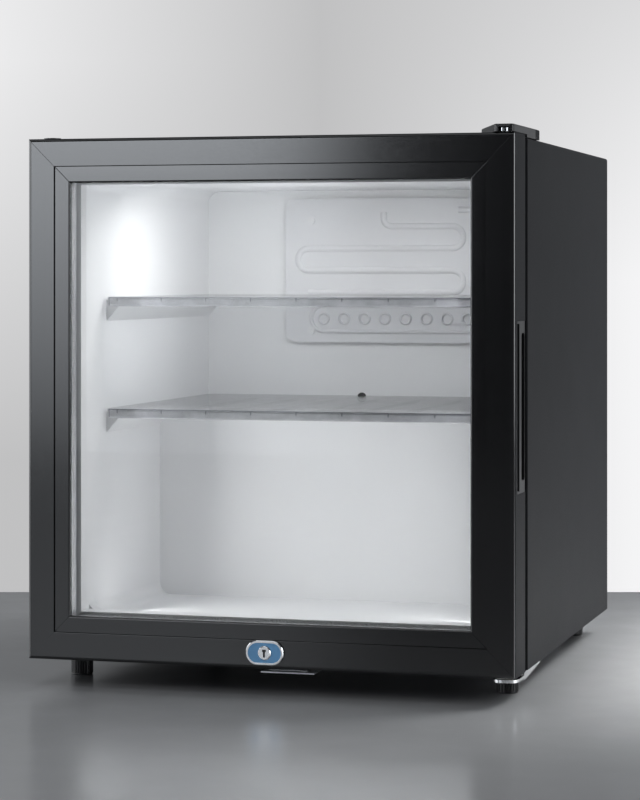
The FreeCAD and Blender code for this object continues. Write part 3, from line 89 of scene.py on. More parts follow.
class Graph:
    """A material's node tree, with short calls that add nodes and join them."""

    def __init__(self, name: str) -> None:
        """Start an empty material.

        Args:
            name: the material's name.
        """
        self.material = bpy.data.materials.new(name)
        self.material.use_nodes = True
        self.nodes = self.material.node_tree.nodes
        self.links = self.material.node_tree.links
        self.nodes.clear()
        self.output = self.nodes.new("ShaderNodeOutputMaterial")

    def feed(self, socket: bpy.types.NodeSocket, value: Value) -> None:
        """Join a socket to another one, or set its value.

        Args:
            socket: the input to fill.
            value: an output socket, a number or a tuple.
        """
        if isinstance(value, bpy.types.NodeSocket):
            self.links.new(value, socket)
        elif hasattr(value, "__len__") and len(value) == 3 and socket.type == "RGBA":
            socket.default_value = (*value, 1.0)
        else:
            socket.default_value = value

    def add(self, kind: str, settings: Optional[dict] = None, **inputs: Value) -> bpy.types.Node:
        """Add a shader node.

        Args:
            kind: the node's type without its "ShaderNode" prefix.
            settings: the node's own properties.
            inputs: socket values by socket name, with underscores for spaces.

        Returns:
            The new node.
        """
        node = self.nodes.new("ShaderNode" + kind)
        for key, value in (settings or {}).items():
            setattr(node, key, value)
        for key, value in inputs.items():
            self.feed(node.inputs[key.replace("_", " ")], value)
        return node

    def place(self, stretch: Colour = (1, 1, 1)) -> bpy.types.NodeSocket:
        """Give object coordinates, stretched along each axis.

        Args:
            stretch: the scale of the pattern along X, Y and Z.

        Returns:
            The coordinates' socket.
        """
        where = self.add("TexCoord").outputs["Object"]
        return self.add("Mapping", Vector=where, Scale=stretch).outputs["Vector"]

    def split(self) -> bpy.types.Node:
        """Give a node whose outputs are the object coordinates X, Y and Z."""
        return self.add("SeparateXYZ", Vector=self.add("TexCoord").outputs["Object"])

    def noise(self, size: float, detail: float = 3, stretch: Colour = (1, 1, 1)) -> bpy.types.NodeSocket:
        """Give a soft random pattern.

        Args:
            size: the width of one patch.
            detail: how many finer layers it has.
            stretch: the scale of the pattern along X, Y and Z.

        Returns:
            The pattern's socket, from 0 to 1.
        """
        return self.add("TexNoise", Vector=self.place(stretch), Scale=1 / size, Detail=detail).outputs["Fac"]

    def spread(self, value: Value, low: float, high: float, start: float = 0.3,
               end: float = 0.7) -> bpy.types.NodeSocket:
        """Map a range of a value to another range.

        Args:
            value: the value to map.
            low: what the range starts at.
            high: what the range ends at.
            start: the value that gives low.
            end: the value that gives high.

        Returns:
            The mapped value's socket.
        """
        node = self.add("MapRange", Value=value, From_Min=start, From_Max=end, To_Min=low, To_Max=high)
        return node.outputs["Result"]

    def blend(self, share: Value, first: Value, second: Value) -> bpy.types.NodeSocket:
        """Mix two colours.

        Args:
            share: how much of the second colour shows.
            first: the first colour.
            second: the second colour.

        Returns:
            The mixed colour's socket.
        """
        node = self.add("Mix", {"data_type": "RGBA"})
        colours = [socket for socket in node.inputs if socket.type == "RGBA"]
        self.feed(node.inputs[0], share)
        self.feed(colours[0], first)
        self.feed(colours[1], second)
        return next(socket for socket in node.outputs if socket.type == "RGBA")

    def math(self, operation: str, first: Value, second: Value) -> bpy.types.NodeSocket:
        """Work out one sum.

        Args:
            operation: the name of the sum, such as MULTIPLY.
            first: the first number.
            second: the second number.

        Returns:
            The result's socket.
        """
        node = self.add("Math", {"operation": operation})
        self.feed(node.inputs[0], first)
        self.feed(node.inputs[1], second)
        return node.outputs[0]

    def relief(self, height: Value, depth: float, below: Optional[Value] = None) -> bpy.types.NodeSocket:
        """Turn a height pattern into a bumpy normal.

        Args:
            height: the pattern's socket.
            depth: how deep the bumps are.
            below: an earlier normal to build on.

        Returns:
            The normal's socket.
        """
        node = self.add("Bump", Height=height, Distance=depth, Strength=1.0)
        if below is not None:
            self.feed(node.inputs["Normal"], below)
        return node.outputs["Normal"]

    def finish(self, shader: bpy.types.Node) -> bpy.types.Material:
        """Join the last shader to the output and give the material.

        Args:
            shader: the node whose first output is the surface.

        Returns:
            The material.
        """
        self.links.new(shader.outputs[0], self.output.inputs["Surface"])
        return self.material


# --------------------------------------------------------------------------------------- finishes

class Grain(Enum):
    """The small relief that a surface keeps from the way it was made."""

    POWDER = "powder"          # baked powder coat: rounded pimples
    DRAWN = "drawn"            # drawn or rolled metal under paint: long faint lines
    MOULD = "mould"            # spark-eroded mould texture
    FORMED = "formed"          # vacuum-formed sheet: slow orange peel


@dataclass(frozen=True)
class Coating:
    """Paint, powder coat or plastic: a coloured body under a thin gloss.

    Attributes:
        name: the finish's name.
        colour: the body's colour.
        rough: the mean roughness.
        gloss: the specular level.
        grain: the kind of small relief.
        size: the width of one grain.
        depth: the height of one grain.
        index: the refractive index of the gloss.
        patchy: how much the colour and roughness wander.
        along: the axis that a drawn grain runs along.
    """

    name: str
    colour: Colour
    rough: float
    gloss: float = 0.5
    grain: Grain = Grain.MOULD
    size: float = 0.8 * MM
    depth: float = 0.02 * MM
    index: float = 1.5
    patchy: float = 0.12
    along: int = 2

    def relief(self, graph: Graph) -> bpy.types.NodeSocket:
        """Make the grain's normal.

        Args:
            graph: the material's tree.

        Returns:
            The normal's socket.
        """
        if self.grain is Grain.POWDER:
            fine = graph.add("TexVoronoi", {"feature": "SMOOTH_F1"}, Vector=graph.place(),
                             Scale=1 / self.size, Smoothness=1.0).outputs["Distance"]
            slow = graph.noise(self.size * 4, 2)
            return graph.relief(fine, self.depth, graph.relief(slow, self.depth * 2))
        if self.grain is Grain.DRAWN:
            stretch = tuple(0.02 if axis == self.along else 1.0 for axis in range(3))
            lines = graph.noise(self.size, 4, stretch)
            return graph.relief(lines, self.depth, graph.relief(graph.noise(self.size * 6, 2), self.depth))
        if self.grain is Grain.FORMED:
            peel = graph.noise(self.size * 8, 1)
            fine = graph.noise(self.size, 2)
            return graph.relief(fine, self.depth * 0.3, graph.relief(peel, self.depth * 4))
        pits = graph.noise(self.size, 6)
        return graph.relief(pits, self.depth)

    def material(self) -> bpy.types.Material:
        """Make the material.

        Returns:
            A material with grain, a wandering colour and an uneven gloss.
        """
        graph = Graph(self.name)
        cloud = graph.noise(CLOUD, 5)
        light = tuple(min(1.0, c * (1 + self.patchy) + 0.001) for c in self.colour)
        dark = tuple(c * (1 - self.patchy) for c in self.colour)
        colour = graph.blend(graph.spread(cloud, 0, 1), dark, light)
        fleck = graph.spread(graph.noise(self.size * 3, 6), -0.5, 0.5)
        unevenness = 0.1 * self.patchy
        swing = graph.spread(graph.noise(SHEEN, 6), self.rough - unevenness, self.rough + unevenness)
        rough = graph.math("ADD", swing, graph.math("MULTIPLY", fleck, 0.04))
        body = graph.add("BsdfPrincipled", Base_Color=colour, Roughness=rough, IOR=self.index,
                         Specular_IOR_Level=self.gloss, Normal=self.relief(graph))
        return graph.finish(body)


@dataclass(frozen=True)
class Metal:
    """Bare or plated metal.

    Attributes:
        name: the finish's name.
        colour: the metal's colour.
        rough: the mean roughness.
        tarnish: the colour of its duller patches.
        spangle: the width of a zinc crystal, or 0 for none.
        brushed: the depth of its brushing lines, or 0 for none.
        patch: the width of a dull patch.
    """

    name: str
    colour: Colour
    rough: float
    tarnish: Colour
    spangle: float = 0.0
    brushed: float = 0.0
    patch: float = 12 * MM

    def material(self) -> bpy.types.Material:
        """Make the material.

        Returns:
            A metal with dull patches, crystals or brushing where it has them.
        """
        graph = Graph(self.name)
        cloud = graph.spread(graph.noise(self.patch, 6), 0, 1, 0.35, 0.75)
        colour = graph.blend(cloud, self.colour, self.tarnish)
        rough = graph.spread(cloud, self.rough * 0.8, self.rough * 1.5, 0, 1)
        normal = graph.relief(graph.noise(1.2 * MM, 3), 0.006 * MM)
        if self.spangle:
            cells = graph.add("TexVoronoi", Vector=graph.place(), Scale=1 / self.spangle)
            shade = graph.add("RGBToBW", Color=cells.outputs["Color"]).outputs[0]
            colour = graph.blend(graph.spread(shade, 0, 0.35, 0.2, 0.8), colour, self.tarnish)
            rough = graph.math("ADD", rough, graph.spread(shade, -0.06, 0.1, 0.2, 0.8))
        if self.brushed:
            lines = graph.noise(0.25 * MM, 3, (1, 1, 0.02))
            normal = graph.relief(lines, self.brushed, normal)
        body = graph.add("BsdfPrincipled", Base_Color=colour, Metallic=1.0, Roughness=rough, Normal=normal)
        return graph.finish(body)


@dataclass(frozen=True)
class Pane:
    """Flat clear glass, or clear plastic, that lets light straight through.

    Attributes:
        name: the finish's name.
        tint: the colour of the light that passes.
        mirror: how strong its reflection is, beside bare glass.
        haze: the share of light that its body scatters.
        rough: the roughness of its surface.
        body: the colour of the scattered light.
    """

    name: str
    tint: Colour
    mirror: float = 1.0
    haze: float = 0.0
    rough: float = 0.02
    body: Colour = (0.85, 0.86, 0.88)

    def material(self) -> bpy.types.Material:
        """Make the material.

        Returns:
            A see-through material with a Fresnel reflection and faint smears.
        """
        graph = Graph(self.name)
        clear = graph.add("BsdfTransparent", Color=self.tint)
        smear = graph.spread(graph.noise(45 * MM, 6, (1, 1, 2.5)), self.rough * 0.6, self.rough * 2.2)
        gloss = graph.add("BsdfGlossy", Roughness=smear)
        solid = graph.add("BsdfPrincipled", Base_Color=self.body, Roughness=0.35,
                          Normal=graph.relief(graph.noise(0.6 * MM, 4), 0.01 * MM))
        cloud = graph.spread(graph.noise(25 * MM, 6), self.haze * 0.7, self.haze * 1.3)
        milky = graph.add("MixShader", Fac=cloud)
        self.join(graph, milky, clear, solid)
        facing = graph.math("SUBTRACT", 1.0, graph.add("NewGeometry").outputs["Backfacing"])
        edge = graph.math("MULTIPLY", graph.add("Fresnel", IOR=1.5).outputs[0],
                          graph.math("MULTIPLY", facing, self.mirror))
        whole = graph.add("MixShader", Fac=edge)
        self.join(graph, whole, milky, gloss)
        return graph.finish(whole)

    @staticmethod
    def join(graph: Graph, mix: bpy.types.Node, first: bpy.types.Node, second: bpy.types.Node) -> None:
        """Feed two shaders to a mix.

        Args:
            graph: the material's tree.
            mix: the mixing node.
            first: the shader shown at zero.
            second: the shader shown at one.
        """
        graph.feed(mix.inputs[1], first.outputs[0])
        graph.feed(mix.inputs[2], second.outputs[0])


@dataclass(frozen=True)
class Glow:
    """A frosted lens that gives light.

    Attributes:
        name: the finish's name.
        colour: the lens's colour.
        power: how bright it glows.
    """

    name: str
    colour: Colour
    power: float

    def material(self) -> bpy.types.Material:
        """Make the material.

        Returns:
            A frosted, faintly prismatic plastic that glows.
        """
        graph = Graph(self.name)
        prisms = graph.noise(2.2 * MM, 2, (1, 1, 0.05))
        glow = graph.blend(graph.spread(prisms, 0, 1), self.colour, (0.8, 0.85, 0.95))
        body = graph.add("BsdfPrincipled", Base_Color=self.colour, Roughness=0.4, Emission_Color=glow,
                         Emission_Strength=self.power, Normal=graph.relief(prisms, 0.15 * MM))
        return graph.finish(body)


FINISHES: dict[str, Union[Coating, Metal, Pane, Glow]] = {
    "black_sheet_steel": Coating("powder-coated sheet steel", (0.014, 0.0145, 0.0165), 0.55, 0.15,
                                 Grain.POWDER, 0.55 * MM, 0.01 * MM, patchy=0.05),
    "black_frame": Coating("satin black frame", (0.005, 0.005, 0.0058), 0.14, 0.5, Grain.DRAWN,
                           0.5 * MM, 0.0012 * MM, index=1.75, patchy=0.04),
    "black_plastic": Coating("black moulded plastic", (0.012, 0.012, 0.013), 0.3, 0.5, Grain.MOULD,
                             0.35 * MM, 0.006 * MM, patchy=0.15),
    "chrome": Metal("bright chrome plate", (0.86, 0.87, 0.88), 0.09, (0.74, 0.75, 0.76)),
    "zinc_steel": Metal("galvanised steel", (0.62, 0.63, 0.65), 0.38, (0.57, 0.58, 0.6), spangle=7 * MM),
    "white_liner": Coating("white formed liner", (0.8, 0.8, 0.81), 0.33, 0.45, Grain.FORMED,
                           1.6 * MM, 0.01 * MM, patchy=0.015),
    "foam": Coating("rigid foam", (0.78, 0.68, 0.42), 0.85, 0.2, Grain.MOULD, 1.4 * MM, 0.25 * MM),
    "evaporator_coat": Coating("white coated aluminium", (0.7, 0.7, 0.72), 0.36, 0.5, Grain.POWDER,
                               0.9 * MM, 0.01 * MM, patchy=0.03),
    "clear_glass": Pane("float glass", (0.99, 0.994, 0.992), mirror=1.0),
    "clear_shelf": Pane("clear styrene", (0.94, 0.945, 0.955), mirror=0.9, haze=0.16, rough=0.08),
    "spacer_metal": Metal("mill aluminium spacer", (0.86, 0.86, 0.87), 0.5, (0.76, 0.76, 0.77),
                          brushed=0.01 * MM),
    "grey_rubber": Coating("black gasket rubber", (0.014, 0.014, 0.015), 0.58, 0.35, Grain.MOULD,
                           0.5 * MM, 0.02 * MM),
    "white_seal": Coating("white gasket vinyl", (0.72, 0.72, 0.73), 0.5, 0.4, Grain.MOULD,
                          0.6 * MM, 0.008 * MM, patchy=0.02),
    "nylon": Coating("natural nylon", (0.66, 0.65, 0.6), 0.5, 0.45, Grain.MOULD, 0.6 * MM, 0.01 * MM),
    "blue_face": Coating("glossy blue face", (0.13, 0.36, 0.66), 0.2, 0.6, Grain.FORMED,
                         0.4 * MM, 0.002 * MM, patchy=0.08),
    "copper": Metal("drawn copper", (0.78, 0.39, 0.24), 0.26, (0.4, 0.21, 0.13)),
    "compressor_paint": Coating("black enamel", (0.012, 0.012, 0.013), 0.28, 0.5, Grain.FORMED,
                                1.2 * MM, 0.03 * MM, patchy=0.2),
    "lamp_white": Glow("frosted lamp lens", (0.95, 0.96, 0.97), 1.6),
    "white_control": Coating("white moulded control", (0.74, 0.74, 0.75), 0.42, 0.45, Grain.MOULD,
                             0.5 * MM, 0.012 * MM, patchy=0.02),
}
FROSTED = Pane("frosted shelf edge", (0.9, 0.9, 0.92), mirror=0.8, haze=0.55, rough=0.2,
               body=(0.8, 0.8, 0.83))
# Painted shade: a darker clear plastic for the shelf's marks and the lines along its lip, standing in for
# the darkening that refraction gives at the moulded notches and edges.
EDGE = Pane("shaded shelf edge", (0.62, 0.62, 0.66), mirror=0.8, haze=0.35, rough=0.2,
            body=(0.4, 0.4, 0.45))
PRINT = Coating("grey dial print", (0.12, 0.13, 0.15), 0.5, 0.4, Grain.MOULD, 0.4 * MM, 0.004 * MM)


class Paintbox:
    """Makes each finish's material once and hands it out."""

    def __init__(self) -> None:
        """Start with no material made."""
        self.made: dict[str, bpy.types.Material] = {}

    def get(self, finish: Union[Coating, Metal, Pane, Glow]) -> bpy.types.Material:
        """Give a finish's material.

        Args:
            finish: the finish.

        Returns:
            Its material, made on the first call.
        """
        if finish.name not in self.made:
            self.made[finish.name] = finish.material()
        return self.made[finish.name]

    def slot(self, name: str) -> bpy.types.Material:
        """Give the material of one of the record's slots."""
        return self.get(FINISHES[name])


# ----------------------------------------------------------------------------------- shape making

def edges_within(verts: Iterable[bmesh.types.BMVert]) -> list[bmesh.types.BMEdge]:
    """Find the edges whose both ends are among some vertices.

    Args:
        verts: the vertices.

    Returns:
        Those edges, in a steady order.
    """
    chosen = list(verts)
    inside = set(chosen)
    found = {edge: None for vert in chosen for edge in vert.link_edges if set(edge.verts) <= inside}
    return list(found)


def axes(first: Vector, second: Vector, third: Vector, at: Vector) -> Matrix:
    """Make the matrix that takes X, Y and Z to three vectors and the origin to a point.

    Args:
        first: where X goes.
        second: where Y goes.
        third: where Z goes.
        at: where the origin goes.

    Returns:
        The matrix.
    """
    return Matrix.Translation(at) @ Matrix((first, second, third)).transposed().to_4x4()


def soften(shape: bmesh.types.BMesh, edges: Sequence[bmesh.types.BMEdge], size: float,
           steps: int = 2) -> None:
    """Round some edges.

    Args:
        shape: the shape to change.
        edges: its edges to round.
        size: the rounding's size.
        steps: how many facets it has.
    """
    bmesh.ops.bevel(shape, geom=list(edges), offset=size, segments=steps, profile=0.5, affect="EDGES",
                    material=-1, clamp_overlap=True)


def slab(low: Vector, high: Vector, corner: float = 0.0, edge: float = 0.0, upright: Vector = Z,
         steps: int = 6) -> bmesh.types.BMesh:
    """Make a plate or a bar with rounded corners and softened edges.

    Args:
        low: its lowest corner.
        high: its highest corner.
        corner: the radius of the corners seen along the upright axis.
        edge: the radius of all other edges.
        upright: the axis that the corners stand along.
        steps: how many facets a corner has.

    Returns:
        The new shape.
    """
    shape = bmesh.new()
    stand = Matrix.Translation((low + high) / 2) @ Matrix.Diagonal((*(high - low), 1))
    bmesh.ops.create_cube(shape, size=1, matrix=stand)
    if corner:
        ways = [(edge, (edge.verts[0].co - edge.verts[1].co).normalized()) for edge in shape.edges]
        soften(shape, [edge for edge, way in ways if abs(way.dot(upright)) > ALONG], corner, steps)
    if edge:
        soften(shape, [e for e in shape.edges if e.calc_face_angle(0) > SHARP], edge, 2)
    return shape


def turned(outline: Sequence[tuple[float, float]], foot: Vector, axis: Vector,
           steps: int = 40) -> bmesh.types.BMesh:
    """Turn an outline round an axis, as on a lathe.

    Args:
        outline: pairs of radius and height along the axis.
        foot: the point that heights start from.
        axis: the axis, of length one.
        steps: how many facets go round.

    Returns:
        The new shape.
    """
    shape = bmesh.new()
    side = axis.orthogonal().normalized()
    verts = [shape.verts.new(foot + side * radius + axis * height) for radius, height in outline]
    edges = [shape.edges.new(pair) for pair in zip(verts, verts[1:])]
    bmesh.ops.spin(shape, geom=verts + edges, cent=foot, axis=axis, angle=math.tau, steps=steps,
                   use_merge=True)
    return shape


def hoop(centre: Vector, axis: Vector, radius: float, width: float, height: float, steps: int = 28,
         sides: int = 10) -> bmesh.types.BMesh:
    """Make a ring with an oval section.

    Args:
        centre: the ring's centre.
        axis: its axis.
        radius: the radius of the section's middle.
        width: the section's whole width.
        height: the section's half height along the axis.
        steps: how many facets go round the ring.
        sides: how many facets go round its section.

    Returns:
        The new shape.
    """
    shape = bmesh.new()
    out = axis.orthogonal().normalized()
    section = bmesh.ops.create_circle(shape, cap_ends=False, segments=sides, radius=1)["verts"]
    stand = axes(out * width / 2, axis * height, out.cross(axis), centre + out * radius)
    bmesh.ops.transform(shape, matrix=stand, verts=section)
    bmesh.ops.spin(shape, geom=section + edges_within(section), cent=centre, axis=axis, angle=math.tau,
                   steps=steps, use_merge=True)
    return shape


def fluted(centre: Vector, radius: float, height: float, flutes: int, depth: float) -> bmesh.types.BMesh:
    """Make an upright grip with grooves down its side.

    Args:
        centre: the middle of its bottom face.
        radius: its outer radius.
        height: how tall it is.
        flutes: how many grooves go round.
        depth: how deep a groove is.

    Returns:
        The new shape.
    """
    shape = bmesh.new()
    rim = bmesh.ops.create_circle(shape, cap_ends=True, segments=flutes * 4, radius=radius,
                                  matrix=Matrix.Translation(centre))["verts"]
    hollow = 1 - depth / radius
    grooves = [vert for place, vert in enumerate(rim) if place % 4 == 0]
    bmesh.ops.scale(shape, vec=(hollow, hollow, 1), space=Matrix.Translation(-centre), verts=grooves)
    grown = bmesh.ops.extrude_face_region(shape, geom=list(shape.faces), use_keep_orig=True)["geom"]
    top = [item for item in grown if isinstance(item, bmesh.types.BMVert)]
    bmesh.ops.translate(shape, vec=Z * height, verts=top)
    soften(shape, edges_within(top), depth * 0.9, 2)
    return shape


def nested_frame(loops: Sequence[tuple[float, float]], centre: Vector, half_wide: float,
                 half_tall: float) -> bmesh.types.BMesh:
    """Make a mitred frame in the XZ plane from a closed section.

    Args:
        loops: the section's points, as pairs of inset from the outside and depth along Y.
        centre: the frame's centre at depth zero.
        half_wide: half the outer width.
        half_tall: half the outer height.

    Returns:
        The new shape.
    """
    shape = bmesh.new()
    rings = []
    for inset, depth in loops:
        ring = bmesh.ops.create_circle(shape, cap_ends=False, segments=4, radius=math.sqrt(2))["verts"]
        turn = Matrix.Rotation(math.pi / 4, 4, "Z")
        stand = axes(X * (half_wide - inset), Z * (half_tall - inset), -Y, centre + Y * depth)
        bmesh.ops.transform(shape, matrix=stand @ turn, verts=ring)
        rings.append(edges_within(ring))
    for ring, following in zip(rings, rings[1:] + rings[:1]):
        bmesh.ops.bridge_loops(shape, edges=ring + following)
    return shape


class Ridge:
    """A rounded rib that is drawn across an upright panel by straight runs and turns."""

    def __init__(self, start: Vector, heading: float, width: float, height: float) -> None:
        """Start a rib with its first section.

        Args:
            start: where it starts, on the panel.
            heading: its direction in radians, from +X towards +Z.
            width: its width.
            height: how far it stands out on each side of the panel.
        """
        self.shape = bmesh.new()
        self.at, self.heading, self.size = start.copy(), heading, (width, height)
        verts = bmesh.ops.create_circle(self.shape, cap_ends=False, segments=12, radius=1)["verts"]
        stand = axes(self.left * width / 2, Y * height, self.ahead, start)
        bmesh.ops.transform(self.shape, matrix=stand, verts=verts)
        self.edges = edges_within(verts)
        self.first = list(self.edges)

    @property
    def ahead(self) -> Vector:
        """The direction that the rib is going in."""
        return Vector((math.cos(self.heading), 0, math.sin(self.heading)))

    @property
    def left(self) -> Vector:
        """The direction to the left of the rib."""
        return Vector((-math.sin(self.heading), 0, math.cos(self.heading)))

    def run(self, length: float) -> "Ridge":
        """Go straight on.

        Args:
            length: how far.

        Returns:
            The rib itself.
        """
        grown = bmesh.ops.extrude_edge_only(self.shape, edges=self.edges)["geom"]
        verts = [item for item in grown if isinstance(item, bmesh.types.BMVert)]
        bmesh.ops.translate(self.shape, vec=self.ahead * length, verts=verts)
        self.edges = edges_within(verts)
        self.at += self.ahead * length
        return self

    def turn(self, degrees: float, radius: float) -> "Ridge":
        """Go round a bend.

        Args:
            degrees: how far it turns, to the left if positive.
            radius: the bend's radius.

        Returns:
            The rib itself.
        """
        angle = math.radians(degrees)
        centre = self.at + self.left * math.copysign(radius, degrees)
        steps = max(3, round(abs(degrees) / 12))
        spun = bmesh.ops.spin(self.shape, geom=self.edges, cent=centre, axis=-Y, angle=angle, steps=steps)
        self.edges = edges_within(item for item in spun["geom_last"] if isinstance(item, bmesh.types.BMVert))
        self.at = centre + Matrix.Rotation(angle, 3, -Y) @ (self.at - centre)
        self.heading += angle
        return self

    def end(self) -> bmesh.types.BMesh:
        """Close both ends and give the shape."""
        for loop in (self.first, self.edges):
            bmesh.ops.edgeloop_fill(self.shape, edges=[edge for edge in loop if edge.is_valid])
        return self.shape


class Piece:
    """One new piece: shapes are added to it, then it becomes an object that rides on a body."""

    def __init__(self, name: str) -> None:
        """Start an empty piece.

        Args:
            name: the piece's name.
        """
        self.name = name
        self.shape = bmesh.new()

    def add(self, part: bmesh.types.BMesh, finish: int = 0) -> "Piece":
        """Add a shape and free it.

        Args:
            part: the shape to add.
            finish: the index of its material on the piece.

        Returns:
            The piece itself.
        """
        bmesh.ops.remove_doubles(part, verts=list(part.verts), dist=WELD)
        bmesh.ops.recalc_face_normals(part, faces=list(part.faces))
        for face in part.faces:
            face.material_index = finish
        carrier = bpy.data.meshes.new(self.name)
        part.to_mesh(carrier)
        part.free()
        self.shape.from_mesh(carrier)
        bpy.data.meshes.remove(carrier)
        return self

    def make(self, body: str, slot: str, *materials: bpy.types.Material,
             replaces: Sequence[str] = ()) -> bpy.types.Object:
        """Make the object, dress it and hang it on its body.

        Args:
            body: the body that it rides on.
            slot: the record's material slot of the piece; not used.
            materials: its materials in order.
            replaces: the frame's nodes that it stands for.

        Returns:
            The new object.
        """
        for item in self.shape.faces:
            item.smooth = True
        for edge in self.shape.edges:
            edge.smooth = edge.calc_face_angle(math.pi) < SHARP
        mesh = bpy.data.meshes.new(self.name)
        self.shape.to_mesh(mesh)
        self.shape.free()
        for material in materials:
            mesh.materials.append(material)
        piece = bpy.data.objects.new(self.name, mesh)
        bpy.context.scene.collection.objects.link(piece)
        normals = piece.modifiers.new("broad faces stay flat", "WEIGHTED_NORMAL")
        normals.keep_sharp = True
        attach(piece, body)
        if replaces:
            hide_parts(*replaces)
        LOG.info("%s: %d faces on %s", self.name, len(mesh.polygons), body)
        return piece


# ------------------------------------------------------------------------------- sub-assemblies

@dataclass
class CabinetFinishes:
    """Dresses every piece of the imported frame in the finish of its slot."""

    paints: Paintbox

    def dress(self) -> None:
        """Put each node's material on it."""
        for name, node in frame["nodes"].items():
            material = self.paints.slot(SLOT_OF[name])
            if not node.material_slots:
                node.data.materials.append(material)
            for holder in node.material_slots:
                holder.material = material
        LOG.info("dressed %d nodes", len(frame["nodes"]))


@dataclass
class EasedPart:
    """A copy of one of the frame's nodes whose sharp edges are rounded a little, as worked metal is.

    Attributes:
        paints: the materials.
        node: the frame's node that it stands for.
        body: the body that it rides on.
        size: the rounding's size.
        weld: how near two corners are when they are one.
        rim: how deep the sheet-steel finish reaches in from the object's sides.
    """

    paints: Paintbox
    node: str
    body: str
    size: float = 0.35 * MM
    weld: float = 0.01 * MM
    rim: float = 0.5 * MM

    def build(self) -> None:
        """Make the copy: merge it, join its flat facets and round its sharp edges."""
        piece = Piece(f"eased_{self.node}")
        shape = piece.shape
        shape.from_mesh(frame["nodes"][self.node].data)
        bmesh.ops.remove_doubles(shape, verts=list(shape.verts), dist=self.weld)
        bmesh.ops.dissolve_limit(shape, angle_limit=FLAT, use_dissolve_boundaries=False,
                                 verts=list(shape.verts), edges=list(shape.edges))
        sharp = [edge for edge in shape.edges if edge.is_manifold and edge.calc_face_angle(0) > SHARP]
        soften(shape, sharp, self.size)
        side = CAD_BOX[1].x - self.rim
        for face in shape.faces:
            face.material_index = int(abs(face.calc_center_median().x) > side)
        slot = SLOT_OF[self.node]
        piece.make(self.body, slot, self.paints.slot(slot), self.paints.slot("black_sheet_steel"),
                   replaces=[self.node])


@dataclass
class Shelf:
    """A clear moulded shelf with a frosted front lip.

    Attributes:
        paints: the materials.
        node: the frame's node that it stands for.
        body: the body that it rides on.
        thick: the panel's thickness.
        lip: the lip's thickness.
        lip_drop: how far the lip's top stays under the panel's.
        pitch: the distance between ribs, and between the marks on the lip.
        rib: a rib's width.
        rib_tall: a rib's height.
        rib_stop: how far a rib ends before the panel's edges.
        mark: how far the marks stand out.
        mark_size: a mark's width and height.
        mark_drop: how far a mark's foot is below the panel's top.
        line: half the width of the lines of painted shade along the lip's ends.
        proud: how far those lines stand out.
        corner: the radius of the panel's corners.
    """

    paints: Paintbox
    node: str
    body: str
    thick: float = 3 * MM
    lip: float = 4 * MM
    lip_drop: float = 0.4 * MM
    pitch: float = 42 * MM
    rib: float = 2 * MM
    rib_tall: float = 2.5 * MM
    rib_stop: float = 12 * MM
    mark: float = 0.5 * MM
    mark_size: tuple[float, float] = (0.8 * MM, 3.4 * MM)
    mark_drop: float = 4.2 * MM
    line: float = 0.4 * MM
    proud: float = 0.2 * MM
    corner: float = 8 * MM

    def build(self) -> None:
        """Make the shelf."""
        self.low, self.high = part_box(self.node)
        self.front = self.low.y + self.mark
        piece = Piece(self.node.replace("shelf", "clear_shelf"))
        panel_low = Vector((self.low.x, self.front, self.high.z - self.thick))
        piece.add(slab(panel_low, self.high, self.corner, 0.7 * MM))
        self.add_lip(piece)
        self.add_ribs(piece)
        piece.make(self.body, "clear_shelf", self.paints.slot("clear_shelf"), self.paints.get(FROSTED),
                   self.paints.get(EDGE), replaces=[self.node])

    def add_lip(self, piece: Piece) -> None:
        """Add the lip, the marks on its face and the lines along its edges, the marks and lines in a darker
        plastic as painted shade.

        Args:
            piece: the shelf's piece.
        """
        # The marks stand for the moulded notches; they and the edge lines take the darker plastic as painted
        # shade.
        frosted, shaded = 1, 2
        low, high, front = self.low, self.high, self.front
        left, right = low.x + self.lip, high.x - self.lip
        foot, head = Vector((left, front, low.z)), Vector((right, front + self.lip, high.z - self.lip_drop))
        piece.add(slab(foot, head, 1.8 * MM, 0.8 * MM, X), frosted)
        wide, tall = self.mark_size
        for place in self.places(right):
            foot = Vector((place - wide / 2, front - self.mark, high.z - self.mark_drop))
            piece.add(slab(foot, foot + Vector((wide, 2 * self.mark, tall)), edge=0.2 * MM), shaded)
        foot = Vector((left, front - self.proud, high.z - 1.0 * MM))
        head = Vector((right, front + 0.3 * MM, high.z - 0.3 * MM))
        piece.add(slab(foot, head, edge=0.1 * MM), shaded)
        for place in (-right, right):
            foot = Vector((place - self.line, front - self.proud, low.z + 1 * MM))
            head = Vector((place + self.line, front + 2 * MM, high.z - 0.5 * MM))
            piece.add(slab(foot, head, edge=0.1 * MM), shaded)

    def add_ribs(self, piece: Piece) -> None:
        """Add the ribs under the panel.

        Args:
            piece: the shelf's piece.
        """
        under = self.high.z - self.thick
        for place in self.places(self.high.x - self.rib_stop):
            foot = Vector((place - self.rib / 2, self.front + self.lip, under - self.rib_tall))
            head = Vector((place + self.rib / 2, self.high.y - self.rib_stop, under + 0.2 * MM))
            piece.add(slab(foot, head, edge=0.5 * MM))

    def places(self, reach: float) -> list[float]:
        """Give the places along the shelf where ribs and marks stand.

        Args:
            reach: how far from the middle they may be.

        Returns:
            Their places along X.
        """
        count = int(reach // self.pitch)
        return [step * self.pitch for step in range(-count, count + 1)]


